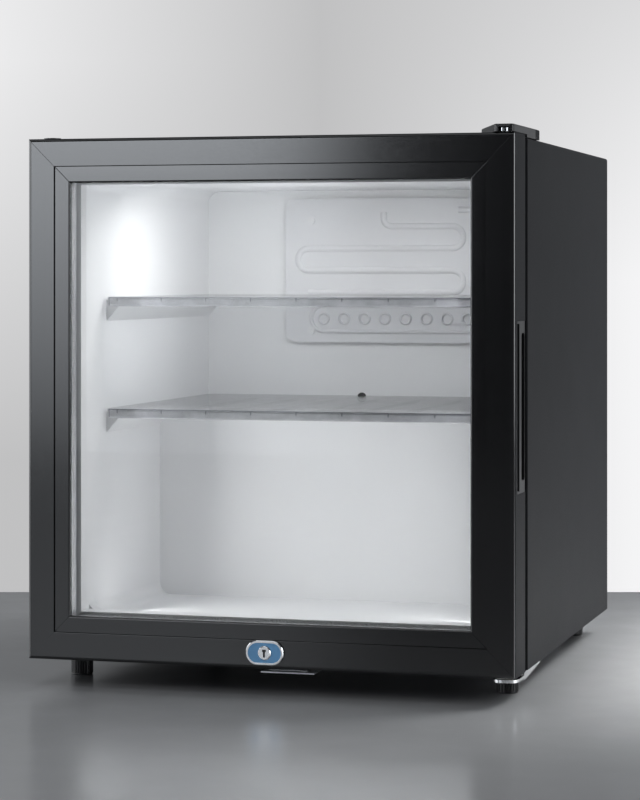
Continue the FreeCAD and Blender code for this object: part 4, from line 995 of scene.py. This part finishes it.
@dataclass
class EvaporatorChannels:
    """The refrigerant's channels, blown out of the evaporator's plate.

    Attributes:
        paints: the materials.
        width: a channel's width.
        height: how far a channel stands out.
        dimples: how many dimples the tank has.
        pitch: the distance between them.
        ring: a dimple's radius.
        ring_width: the width of its rim.
        tank_at: the first dimple's place from the plate's lower left corner.
        tank_bend: the radius of the tank's rounded ends.
        tank_width: the width of the tank's rim.
        span: the length of the winding's straight runs.
        winding_at: the winding's start from the plate's lower left corner.
        winding_bend: the radius of its bends.
        drop_at: the start of the rising channel from the plate's lower right corner.
    """

    paints: Paintbox
    width: float = 6 * MM
    height: float = 2.1 * MM
    dimples: int = 8
    pitch: float = 21.1 * MM
    ring: float = 5.2 * MM
    ring_width: float = 2.6 * MM
    tank_at: tuple[float, float] = (40 * MM, 24 * MM)
    tank_bend: float = 13 * MM
    tank_width: float = 4 * MM
    span: float = 148 * MM
    winding_at: tuple[float, float] = (24 * MM, 50 * MM)
    winding_bend: float = 11 * MM
    drop_at: tuple[float, float] = (12 * MM, 30 * MM)

    def build(self) -> None:
        """Make the tank with its dimples and the channels above it."""
        self.low, self.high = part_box("evaporator_plate")
        piece = Piece("evaporator_channels")
        self.add_tank(piece)
        self.add_winding(piece)
        piece.make("cabinet", "evaporator_coat", self.paints.slot("evaporator_coat"))

    def add_tank(self, piece: Piece) -> None:
        """Add the tank's outline and its row of dimples.

        Args:
            piece: the channels' piece.
        """
        first, middle = self.low.x + self.tank_at[0], self.low.z + self.tank_at[1]
        last = first + self.pitch * (self.dimples - 1)
        for step in range(self.dimples):
            centre = Vector((first + step * self.pitch, self.low.y, middle))
            piece.add(hoop(centre, Y, self.ring, self.ring_width, self.height))
        bend = self.tank_bend
        outline = Ridge(Vector((first, self.low.y, middle - bend)), 0, self.tank_width, self.height)
        outline.run(last - first).turn(180, bend).run(last - first).turn(180, bend)
        piece.add(outline.shape)

    def add_winding(self, piece: Piece) -> None:
        """Add the channel that winds up from the tank and the one that rises beside it.

        Args:
            piece: the channels' piece.
        """
        low, high, bend, span = self.low, self.high, self.winding_bend, self.span
        start = Vector((low.x + self.winding_at[0], low.y, low.z + self.winding_at[1]))
        channel = Ridge(start, 0, self.width, self.height)
        channel.run(span).turn(180, bend).run(span).turn(-180, bend).run(span).turn(180, bend)
        channel.run(span * 0.42).turn(-90, 8 * MM).run(6 * MM)
        piece.add(channel.end())
        start = Vector((high.x - self.drop_at[0], low.y, low.z + self.drop_at[1]))
        drop = Ridge(start, math.pi / 2, self.width, self.height)
        drop.run(high.z - low.z - 48 * MM).turn(90, 6 * MM).run(14 * MM)
        piece.add(drop.end())


@dataclass
class DoorSeal:
    """The folded magnetic gasket round the back of the door."""

    paints: Paintbox
    width: float = 12 * MM

    def build(self) -> None:
        """Make the gasket with its bellows."""
        low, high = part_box("door_gasket")
        deep = high.y - low.y
        drawn = 12.0
        section = [(1.6, 0.0), (1.6, 0.22), (0.2, 0.3), (0.2, 0.42), (1.8, 0.52), (0.0, 0.64), (0.0, 0.94),
                   (0.6, 1.0)]
        section += [(11.4, 1.0), (12.0, 0.94), (12.0, 0.64), (10.2, 0.52), (11.8, 0.42), (11.8, 0.3),
                    (10.4, 0.22), (10.4, 0.0)]
        loops = [(inset / drawn * self.width, share * deep) for inset, share in section]
        centre = Vector(((low.x + high.x) / 2, low.y, (low.z + high.z) / 2))
        piece = Piece("folded_gasket")
        piece.add(nested_frame(loops, centre, (high.x - low.x) / 2, (high.z - low.z) / 2))
        piece.make("door", "white_seal", self.paints.slot("white_seal"), replaces=["door_gasket"])


@dataclass
class SpacerHoles:
    """The rows of tiny holes in the bars that hold the two panes apart, drawn as dark dots of painted shade.

    Attributes:
        paints: the materials.
        pitch: the distance between holes.
        radius: a hole's radius.
        bar: a bar's width, from the frame's outside to its inner face.
        raised: the thickness of the dark dot of painted shade that stands for a hole.
    """

    paints: Paintbox
    pitch: float = 2.4 * MM
    radius: float = 0.42 * MM
    bar: float = 10.3 * MM
    raised: float = 0.12 * MM

    def build(self) -> None:
        """Make a dark dot of painted shade for each hole, on the bars' inner faces."""
        low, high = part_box("glass_spacer")
        inset = Vector((self.bar, 0, self.bar))
        ends = (low + inset, high - inset)
        middle = Y * (low.y + high.y) / 2
        piece = Piece("spacer_holes")
        for along, across in ((Z, X), (X, Z)):
            start, stop = ends[0].dot(along), ends[1].dot(along)
            for step in range(1, int((stop - start) / self.pitch)):
                row = middle + along * (start + step * self.pitch)
                for end in ends:
                    self.hole(piece, row + across * end.dot(across), across)
        # The dots take the black rubber's material as painted shade.
        piece.make("door", "grey_rubber", self.paints.slot("grey_rubber"))

    def hole(self, piece: Piece, at: Vector, axis: Vector) -> None:
        """Add one dot.

        Args:
            piece: the dots' piece.
            at: its middle.
            axis: the direction that it faces along.
        """
        stand = Matrix.Translation(at) @ Z.rotation_difference(axis).to_matrix().to_4x4()
        bmesh.ops.create_cone(piece.shape, cap_ends=True, segments=6, radius1=self.radius,
                              radius2=self.radius, depth=self.raised, matrix=stand)


@dataclass
class DustShutter:
    """The dark shutter that closes the key's slot, set just behind the plug's face so that it also stands in
    for the shade deep in the keyway as painted shade.

    Attributes:
        paints: the materials.
        sunk: how far it lies behind the plug's face.
        deep: its thickness.
        stem: half the width, the bottom and the top of the slot's narrow part.
        eye: the same of its wide part.
    """

    paints: Paintbox
    sunk: float = 0.5 * MM
    deep: float = 2.5 * MM
    stem: tuple[float, float, float] = (0.88 * MM, -3.58 * MM, 1.1 * MM)
    eye: tuple[float, float, float] = (1.68 * MM, 1.02 * MM, 2.98 * MM)

    def build(self) -> None:
        """Make the shutter as the slot's stem and its wider head."""
        low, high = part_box("lock_plug")
        middle = (low.z + high.z) / 2
        front, back = low.y + self.sunk, low.y + self.sunk + self.deep
        piece = Piece("lock_shutter_and_painted_shade")
        for half, bottom, top in (self.stem, self.eye):
            foot, head = Vector((-half, front, middle + bottom)), Vector((half, back, middle + top))
            piece.add(slab(foot, head, edge=0.15 * MM))
        piece.make("lock", "black_plastic", self.paints.slot("black_plastic"))


@dataclass
class HingeKnuckle:
    """The plated screw and pin end that show through the window in the upper hinge's cap.

    Attributes:
        paints: the materials.
        radius: the rods' radius.
        insets: their places from the cap's right side.
        back: their place from its front.
        roof: how far their heads are below its top.
        floor: how far their feet are above its bottom.
        crown: the size of a head's rounding.
    """

    paints: Paintbox
    radius: float = 1.8 * MM
    insets: tuple[float, float] = (7.2 * MM, 11.8 * MM)
    back: float = 4.8 * MM
    roof: float = 2.5 * MM
    floor: float = 2.8 * MM
    crown: float = 0.6 * MM

    def build(self) -> None:
        """Make both as short upright rods with rounded heads."""
        low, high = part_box("top_hinge_cover")
        foot = low.z + self.floor
        tall = high.z - self.roof - foot
        piece = Piece("hinge_knuckle")
        outline = [(0, 0), (self.radius, 0), (self.radius, tall - self.crown),
                   (self.radius - self.crown, tall), (0, tall)]
        for inset in self.insets:
            piece.add(turned(outline, Vector((high.x - inset, low.y + self.back, foot)), Z, 24))
        piece.make("cabinet", "chrome", self.paints.slot("chrome"))


@dataclass
class LevellingFoot:
    """A screw-in foot with a grip that fingers can turn.

    Attributes:
        paints: the materials.
        side: which foot it is, left or right.
        flutes: how many grooves the grip has.
        groove: how deep they are.
        grip: the grip's height with its sole.
        sole: the sole's height.
        lap: how far the sole reaches into the grip.
        bite: how far the stud reaches into the grip.
        pitch: the distance between the thread's teeth.
        stud: the stud's outer radius.
    """

    paints: Paintbox
    side: str
    flutes: int = 24
    groove: float = 0.7 * MM
    grip: float = 14 * MM
    sole: float = 1.4 * MM
    lap: float = 0.2 * MM
    bite: float = 1 * MM
    pitch: float = 1.5 * MM
    stud: float = 4.0 * MM

    def build(self) -> None:
        """Make the foot."""
        node = f"{self.side}_levelling_foot"
        low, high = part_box(node)
        axis = Vector(((low.x + high.x) / 2, (low.y + high.y) / 2, low.z))
        radius = (high.x - low.x) / 2
        shoulder = radius - 0.4 * MM
        top = self.sole + self.lap
        piece = Piece(f"{self.side}_grip_foot")
        piece.add(turned([(0, 0), (radius - 1.2 * MM, 0), (shoulder, 0.5 * MM), (shoulder, top), (0, top)],
                         axis, Z, 48))
        piece.add(fluted(axis + Z * self.sole, radius, self.grip - self.sole, self.flutes, self.groove))
        piece.add(turned(self.thread(high.z - low.z), axis, Z, 24), 1)
        piece.make(f"foot_{self.side}", "black_plastic", self.paints.slot("black_plastic"),
                   self.paints.slot("zinc_steel"), replaces=[node])

    def thread(self, tall: float) -> list[tuple[float, float]]:
        """Give the outline of the stud.

        Args:
            tall: the foot's whole height.

        Returns:
            Pairs of radius and height.
        """
        start = self.grip - self.bite
        turns = int((tall - start - self.bite) / self.pitch)
        teeth = []
        for turn in range(turns):
            base = start + turn * self.pitch
            teeth += [(self.stud - 0.7 * MM, base), (self.stud, base + self.pitch / 2)]
        tip = [(self.stud - 0.9 * MM, tall - 0.6 * MM), (self.stud - 1.4 * MM, tall), (0, tall)]
        return [(0, start), *teeth, *tip]


@dataclass
class DialMarks:
    """The scale printed round the thermostat's dial.

    Attributes:
        paints: the materials.
        steps: how many ticks it has.
        sweep: the angle that they cover, in degrees.
        inner: where a tick starts, from the dial's axis.
        outer: where it ends.
        half: half a tick's width.
        numbers: the radius that the numbers stand on.
        tall: a number's height.
    """

    paints: Paintbox
    steps: int = 7
    sweep: float = 270.0
    inner: float = 15.6 * MM
    outer: float = 17.8 * MM
    half: float = 0.4 * MM
    numbers: float = 21 * MM
    tall: float = 4.2 * MM

    def build(self) -> None:
        """Make the ticks and the numbers."""
        low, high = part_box("thermostat_dial")
        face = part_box("control_housing")[0].x
        centre = Vector((face, (low.y + high.y) / 2, (low.z + high.z) / 2))
        ticks = Piece("dial_ticks")
        numbers = Piece("dial_numbers")
        for step in range(self.steps):
            angle = math.radians(-self.sweep / 2 + self.sweep * step / (self.steps - 1))
            out = Vector((0, -math.sin(angle), math.cos(angle)))
            ticks.add(self.tick(centre, out))
            numbers.add(self.number(str(step), centre + out * self.numbers))
        ticks.make("cabinet", "white_control", self.paints.get(PRINT))
        numbers.make("cabinet", "white_control", self.paints.get(PRINT))

    def tick(self, centre: Vector, out: Vector) -> bmesh.types.BMesh:
        """Make one tick.

        Args:
            centre: the dial's centre on the housing's face.
            out: the direction of the tick.

        Returns:
            The tick's shape.
        """
        foot, head = Vector((-0.2 * MM, -self.half, self.inner)), Vector((0.1 * MM, self.half, self.outer))
        shape = slab(foot, head, edge=0.05 * MM)
        stand = axes(X, X.cross(out) * -1, out, centre)
        bmesh.ops.transform(shape, matrix=stand, verts=list(shape.verts))
        return shape

    def number(self, text: str, at: Vector) -> bmesh.types.BMesh:
        """Make one number, standing slightly off the face.

        Args:
            text: the number.
            at: its middle.

        Returns:
            The number's shape.
        """
        curve = bpy.data.curves.new("number", "FONT")
        curve.body, curve.size, curve.extrude = text, self.tall, 0.15 * MM
        curve.align_x, curve.align_y = "CENTER", "CENTER"
        holder = bpy.data.objects.new("number", curve)
        bpy.context.scene.collection.objects.link(holder)
        mesh = bpy.data.meshes.new_from_object(holder)
        shape = bmesh.new()
        shape.from_mesh(mesh)
        bmesh.ops.transform(shape, matrix=axes(-Y, Z, -X, at), verts=list(shape.verts))
        bpy.data.objects.remove(holder)
        bpy.data.curves.remove(curve)
        bpy.data.meshes.remove(mesh)
        return shape


@dataclass
class RearPanel:
    """The galvanised back sheet with its pressed beads and screws.

    Attributes:
        paints: the materials.
        sheet: the sheet's thickness.
        proud: how far the beads and screws may stand out.
        bead: a bead's width.
        bead_rise: how far a bead stands out.
        beads: how many beads it has.
        margin: the beads' distance from the sheet's sides.
        screws_across: the screws' places, in parts of the width from the middle.
        screws_up: their heights, in parts of the sheet's.
    """

    paints: Paintbox
    sheet: float = 0.9 * MM
    proud: float = 0.9 * MM
    bead: float = 14 * MM
    bead_rise: float = 0.85 * MM
    beads: int = 5
    margin: float = 45 * MM
    screws_across: tuple[float, ...] = (-0.46, -0.16, 0.16, 0.46)
    screws_up: tuple[float, ...] = (0.035, 0.965)

    def build(self) -> None:
        """Make the sheet with its beads and hem, and its screw heads."""
        low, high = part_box("rear_panel")
        face = high.y - self.proud
        wide, tall = high.x - low.x, high.z - low.z
        piece = Piece("beaded_rear_panel")
        piece.add(slab(Vector((low.x, face - self.sheet, low.z)), Vector((high.x, face, high.z)),
                       3 * MM, 0.3 * MM, Y))
        piece.add(slab(low, Vector((high.x, face - 0.2 * MM, low.z + self.sheet))))
        span = wide - 2 * self.margin
        gap = tall / (self.beads + 1)
        for row in range(self.beads):
            start = Vector((-span / 2, face, low.z + gap * (row + 1)))
            piece.add(Ridge(start, 0, self.bead, self.bead_rise).run(span).end())
        piece.make("cabinet", "zinc_steel", self.paints.slot("zinc_steel"), replaces=["rear_panel"])
        head = [(0, -0.4 * MM), (3.6 * MM, -0.4 * MM), (3.6 * MM, 0.15 * MM), (3 * MM, 0.6 * MM),
                (1.4 * MM, 0.85 * MM), (1.0 * MM, 0.2 * MM), (0, 0.1 * MM)]
        screws = Piece("rear_panel_screws")
        for across in self.screws_across:
            for up in self.screws_up:
                screws.add(turned(head, Vector((across * wide, face, low.z + up * tall)), Y, 24))
        screws.make("cabinet", "chrome", self.paints.slot("chrome"))


# ------------------------------------------------------------------------------------- the studio

@dataclass
class Studio:
    """The floor, the backdrop, the lights and the camera.

    Attributes:
        eye: the camera's place.
        turn: how far the camera is turned from +Y, in degrees.
        lens: the focal length in millimetres.
        sensor: the sensor's width in millimetres.
        drop: how far the picture is shifted, in parts of its longer side.
        wall_gap: the distance from the camera to the backdrop.
        near_floor: the floor's plain colour, which it has everywhere but in the painted pool of light, so
            also in the painted shade along the object's right side.
        far_floor: the paler colour of a painted pool of light on the floor to the right of the object.
    """

    eye: Vector = field(default_factory=lambda: Vector((0.634, -2.32925, 0.358)))
    turn: float = 15.61
    lens: float = 116.0
    sensor: float = 36.0
    drop: float = -0.1569
    wall_gap: float = 2.906
    near_floor: Colour = (0.31, 0.317, 0.325)
    far_floor: Colour = (0.8, 0.805, 0.81)

    def camera(self) -> None:
        """Make the camera."""
        data = bpy.data.cameras.new("camera")
        data.lens, data.sensor_width, data.shift_y = self.lens, self.sensor, self.drop
        holder = bpy.data.objects.new("camera", data)
        holder.location = self.eye
        holder.rotation_euler = (math.pi / 2, 0, math.radians(self.turn))
        bpy.context.scene.collection.objects.link(holder)
        bpy.context.scene.camera = holder

    @staticmethod
    def sheet(name: str, half: float, material: bpy.types.Material,
              stretch: tuple[float, float] = (1, 1)) -> bpy.types.Object:
        """Make a flat stage piece, which isn't part of the object.

        Args:
            name: its name.
            half: half its width.
            material: its material.
            stretch: how much its width and height are scaled.

        Returns:
            The new object.
        """
        shape = bmesh.new()
        bmesh.ops.create_grid(shape, x_segments=1, y_segments=1, size=half,
                              matrix=Matrix.Diagonal((*stretch, 1, 1)))
        mesh = bpy.data.meshes.new(name)
        shape.to_mesh(mesh)
        shape.free()
        mesh.materials.append(material)
        piece = bpy.data.objects.new(name, mesh)
        bpy.context.scene.collection.objects.link(piece)
        return piece

    @staticmethod
    def ramp(graph: Graph, value: bpy.types.NodeSocket, start: float, end: float) -> bpy.types.NodeSocket:
        """Rise smoothly from 0 to 1.

        Args:
            graph: the material's tree.
            value: what the ramp reads.
            start: where it leaves 0.
            end: where it reaches 1.

        Returns:
            The ramp's socket.
        """
        node = graph.add("MapRange", {"interpolation_type": "SMOOTHSTEP"}, Value=value, From_Min=start,
                         From_Max=end, To_Min=0.0, To_Max=1.0)
        return node.outputs["Result"]

    def floor(self) -> None:
        """Make a floor with a soft shine: grey, with a painted pool of pale light to the right of the object
        and a painted shade where the pool fades out along the object's side.
        """
        graph = Graph("studio floor")
        where = graph.split()
        # Painted light and shade: the pool fades in from x 0.19 to 0.36, which leaves a painted shade along
        # the object's right side, fades in from y -0.5 towards the back and fades out again from x 0.45 to
        # 1.0.
        beside = self.ramp(graph, where.outputs["X"], 0.19, 0.36)
        behind = self.ramp(graph, where.outputs["Y"], -0.5, 0.0)
        beyond = self.ramp(graph, where.outputs["X"], 1.0, 0.45)
        share = graph.math("MULTIPLY", graph.math("MULTIPLY", beside, behind), beyond)
        colour = graph.blend(share, self.near_floor, self.far_floor)
        rough = graph.spread(graph.noise(0.05, 4), 0.16, 0.22)
        body = graph.add("BsdfPrincipled", Base_Color=colour, Roughness=rough, IOR=1.6)
        self.sheet("studio_floor", 6, graph.finish(body))

    def backdrop(self) -> None:
        """Make a pale wall that shows from the front only and glows with painted light, brighter towards its
        upper left and its lower right.
        """
        graph = Graph("studio wall")
        where = graph.split()
        across, up = where.outputs["X"], where.outputs["Y"]
        # Painted light on the backdrop: a brighter band to the left that grows upwards and one to the right
        # that grows downwards, over an even glow of 0.53.
        left = graph.math("MULTIPLY", graph.spread(across, 0.3, 0.0, -0.36, 0.0),
                          graph.spread(up, 0.0, 1.0, 0.15, 0.6))
        right = graph.math("MULTIPLY", graph.spread(across, 0.0, 0.38, 0.0, 0.36),
                           graph.spread(up, 1.0, 0.4, 0.35, 0.7))
        power = graph.math("ADD", 0.53, graph.math("ADD", left, right))
        glow = graph.add("Emission", Color=(1, 1, 1.01), Strength=power)
        clear = graph.add("BsdfTransparent")
        mix = graph.add("MixShader", Fac=graph.add("NewGeometry").outputs["Backfacing"])
        Pane.join(graph, mix, glow, clear)
        wall = self.sheet("studio_wall", 3, graph.finish(mix))
        turn = math.radians(self.turn)
        wall.rotation_euler = (math.pi / 2, 0, turn)
        ahead = Vector((-math.sin(turn), math.cos(turn), 0))
        wall.location = Vector((self.eye.x, self.eye.y, 0)) + ahead * self.wall_gap
        wall.visible_shadow = False
        wall.visible_diffuse = False
        wall.visible_glossy = False

    @staticmethod
    def reflect_only(card: bpy.types.Object) -> None:
        """Let a card show in glossy surfaces and nowhere else."""
        card.visible_camera = False
        card.visible_diffuse = False
        card.visible_shadow = False

    def card(self) -> None:
        """Make the fading white card whose reflection lies over the door."""
        graph = Graph("fading card")
        where = graph.split()
        side = self.ramp(graph, where.outputs["X"], 0.47, 0.2)
        rise = graph.spread(where.outputs["Y"], 0.2, 1.0, -0.75, -0.12)
        first = graph.math("LESS_THAN", graph.add("LightPath").outputs["Glossy Depth"], 1.5)
        level = graph.spread(first, 1.6, 4.3, 0, 1)
        power = graph.math("MULTIPLY", graph.math("MULTIPLY", side, rise), level)
        glow = graph.add("Emission", Color=(0.9, 0.945, 1.0), Strength=power)
        card = self.sheet("fading_card", 0.9, graph.finish(glow))
        card.rotation_euler = (math.pi / 2, 0, 0)
        card.location = (-1.05, -3.0, 0.75)
        self.reflect_only(card)

    def mirror_card(self, name: str, at: Vector, facing: Vector, size: tuple[float, float],
                    power: float) -> None:
        """Make a white card that is seen in glossy surfaces only.

        Args:
            name: its name.
            at: its middle.
            facing: the direction that it faces.
            size: its width and height.
            power: how bright it is.
        """
        graph = Graph(name)
        fall = graph.spread(graph.split().outputs["Y"], 0.5, 1.0, -size[1] / 2, size[1] / 2)
        power_here = graph.math("MULTIPLY", fall, power)
        glow = graph.add("Emission", Color=(0.94, 0.97, 1.0), Strength=power_here)
        card = self.sheet(name, 0.5, graph.finish(glow), size)
        card.rotation_euler = facing.to_track_quat("Z", "Y").to_euler()
        card.location = at
        self.reflect_only(card)

    def lamp(self, name: str, at: Vector, target: Vector, size: tuple[float, float], power: float,
             spread: float = 180.0) -> None:
        """Make a soft rectangular lamp that isn't seen itself.

        Args:
            name: its name.
            at: its place.
            target: the point that it faces.
            size: its width and height.
            power: its power in watts.
            spread: the angle of its beam in degrees.
        """
        data = bpy.data.lights.new(name, "AREA")
        data.shape, data.size, data.size_y, data.energy = "RECTANGLE", size[0], size[1], power
        data.spread = math.radians(spread)
        lamp = bpy.data.objects.new(name, data)
        lamp.location = at
        lamp.rotation_euler = (target - at).to_track_quat("-Z", "Y").to_euler()
        lamp.visible_camera = False
        lamp.visible_glossy = False
        bpy.context.scene.collection.objects.link(lamp)

    def world(self) -> None:
        """Fill the room with pale light that is dim in reflections."""
        world = bpy.data.worlds.new("studio")
        world.use_nodes = True
        nodes, links = world.node_tree.nodes, world.node_tree.links
        nodes.clear()
        tones = [((0.93, 0.95, 1.0, 1), 0.3), ((0.9, 0.95, 1.0, 1), 0.1), ((0.95, 0.97, 1.0, 1), 0.62)]
        skies = []
        for colour, strength in tones:
            sky = nodes.new("ShaderNodeBackground")
            sky.inputs["Color"].default_value = colour
            sky.inputs["Strength"].default_value = strength
            skies.append(sky)
        bright, dim, pale = skies
        path = nodes.new("ShaderNodeLightPath")
        mix = nodes.new("ShaderNodeMixShader")
        seen = nodes.new("ShaderNodeMixShader")
        output = nodes.new("ShaderNodeOutputWorld")
        links.new(path.outputs["Is Glossy Ray"], mix.inputs[0])
        links.new(bright.outputs[0], mix.inputs[1])
        links.new(dim.outputs[0], mix.inputs[2])
        links.new(path.outputs["Is Camera Ray"], seen.inputs[0])
        links.new(mix.outputs[0], seen.inputs[1])
        links.new(pale.outputs[0], seen.inputs[2])
        links.new(seen.outputs[0], output.inputs["Surface"])
        world.cycles.sampling_method = "NONE"
        bpy.context.scene.world = world

    def build(self) -> None:
        """Set everything up."""
        middle = Vector((0, 0, 0.24))
        self.camera()
        self.floor()
        self.backdrop()
        self.card()
        self.world()
        self.mirror_card("left card", Vector((-2.5, -0.6, 0.9)), X, (3.4, 1.8), 4.0)
        self.mirror_card("top card", Vector((0, -1.0, 2.6)), -Z, (2.4, 1.6), 0.8)
        self.mirror_card("right card", Vector((2.6, -0.5, 0.9)), -X, (1.4, 1.6), 6.0)
        self.mirror_card("rear card", Vector((-1.6, 3.0, 0.8)), -Y, (1.6, 1.2), 0.34)
        self.mirror_card("far card", Vector((1.0, 3.0, 0.75)), -Y, (1.2, 1.5), 0.6)
        self.lamp("key lamp", Vector((-1.5, -2.6, 2.0)), middle, (1.4, 1.2), 13)
        self.lamp("side lamp", Vector((2.4, -0.6, 1.3)), middle, (1.4, 1.4), 8)
        self.lamp("top lamp", Vector((0, 0.2, 2.6)), middle, (2.4, 2.4), 14)
        self.lamp("rear lamp", Vector((1.6, 2.8, 1.7)), middle, (1.6, 1.2), 36)
        self.lamp("floor lamp", Vector((1.0, 0.6, 1.1)), Vector((0.33, 0.15, 0)), (0.5, 0.5), 2.5, 50)
        self.lamp("cabinet lamp", Vector((0, -0.03, 0.4405)), Vector((0, 0.02, 0.1)), (0.24, 0.2), 1.15)
        self.lamp("door beam", Vector((0.05, -1.3, 0.3)), Vector((0, 0, 0.27)), (0.5, 0.5), 0.05, 25)
        for side in (-1, 1):
            at, target = Vector((side * 0.15, -0.12, 0.22)), Vector((-side * 0.18, -0.17, 0.2))
            self.lamp("strip lamp", at, target, (0.03, 0.34), 0.28)
        bpy.context.scene.view_settings.view_transform = "Standard"
        LOG.info("studio ready")


def main() -> None:
    """Build the pieces in order, dress the frame and set the studio up."""
    logging.basicConfig(level=logging.INFO, format="%(name)s: %(message)s")
    paints = Paintbox()
    Studio().build()
    CabinetFinishes(paints).dress()
    for side, member in (("top", "rail"), ("bottom", "rail"), ("left", "stile"), ("right", "stile")):
        EasedPart(paints, f"frame_{side}_{member}", "door").build()
        EasedPart(paints, f"{side}_bead", "door").build()
    EasedPart(paints, "top_hinge_cover", "cabinet").build()
    Shelf(paints, "lower_shelf", "shelf_low").build()
    Shelf(paints, "upper_shelf", "shelf_high").build()
    EvaporatorChannels(paints).build()
    DoorSeal(paints).build()
    SpacerHoles(paints).build()
    DustShutter(paints).build()
    HingeKnuckle(paints).build()
    for side in ("left", "right"):
        LevellingFoot(paints, side).build()
    DialMarks(paints).build()
    RearPanel(paints).build()


if __name__ == "__main__":
    main()
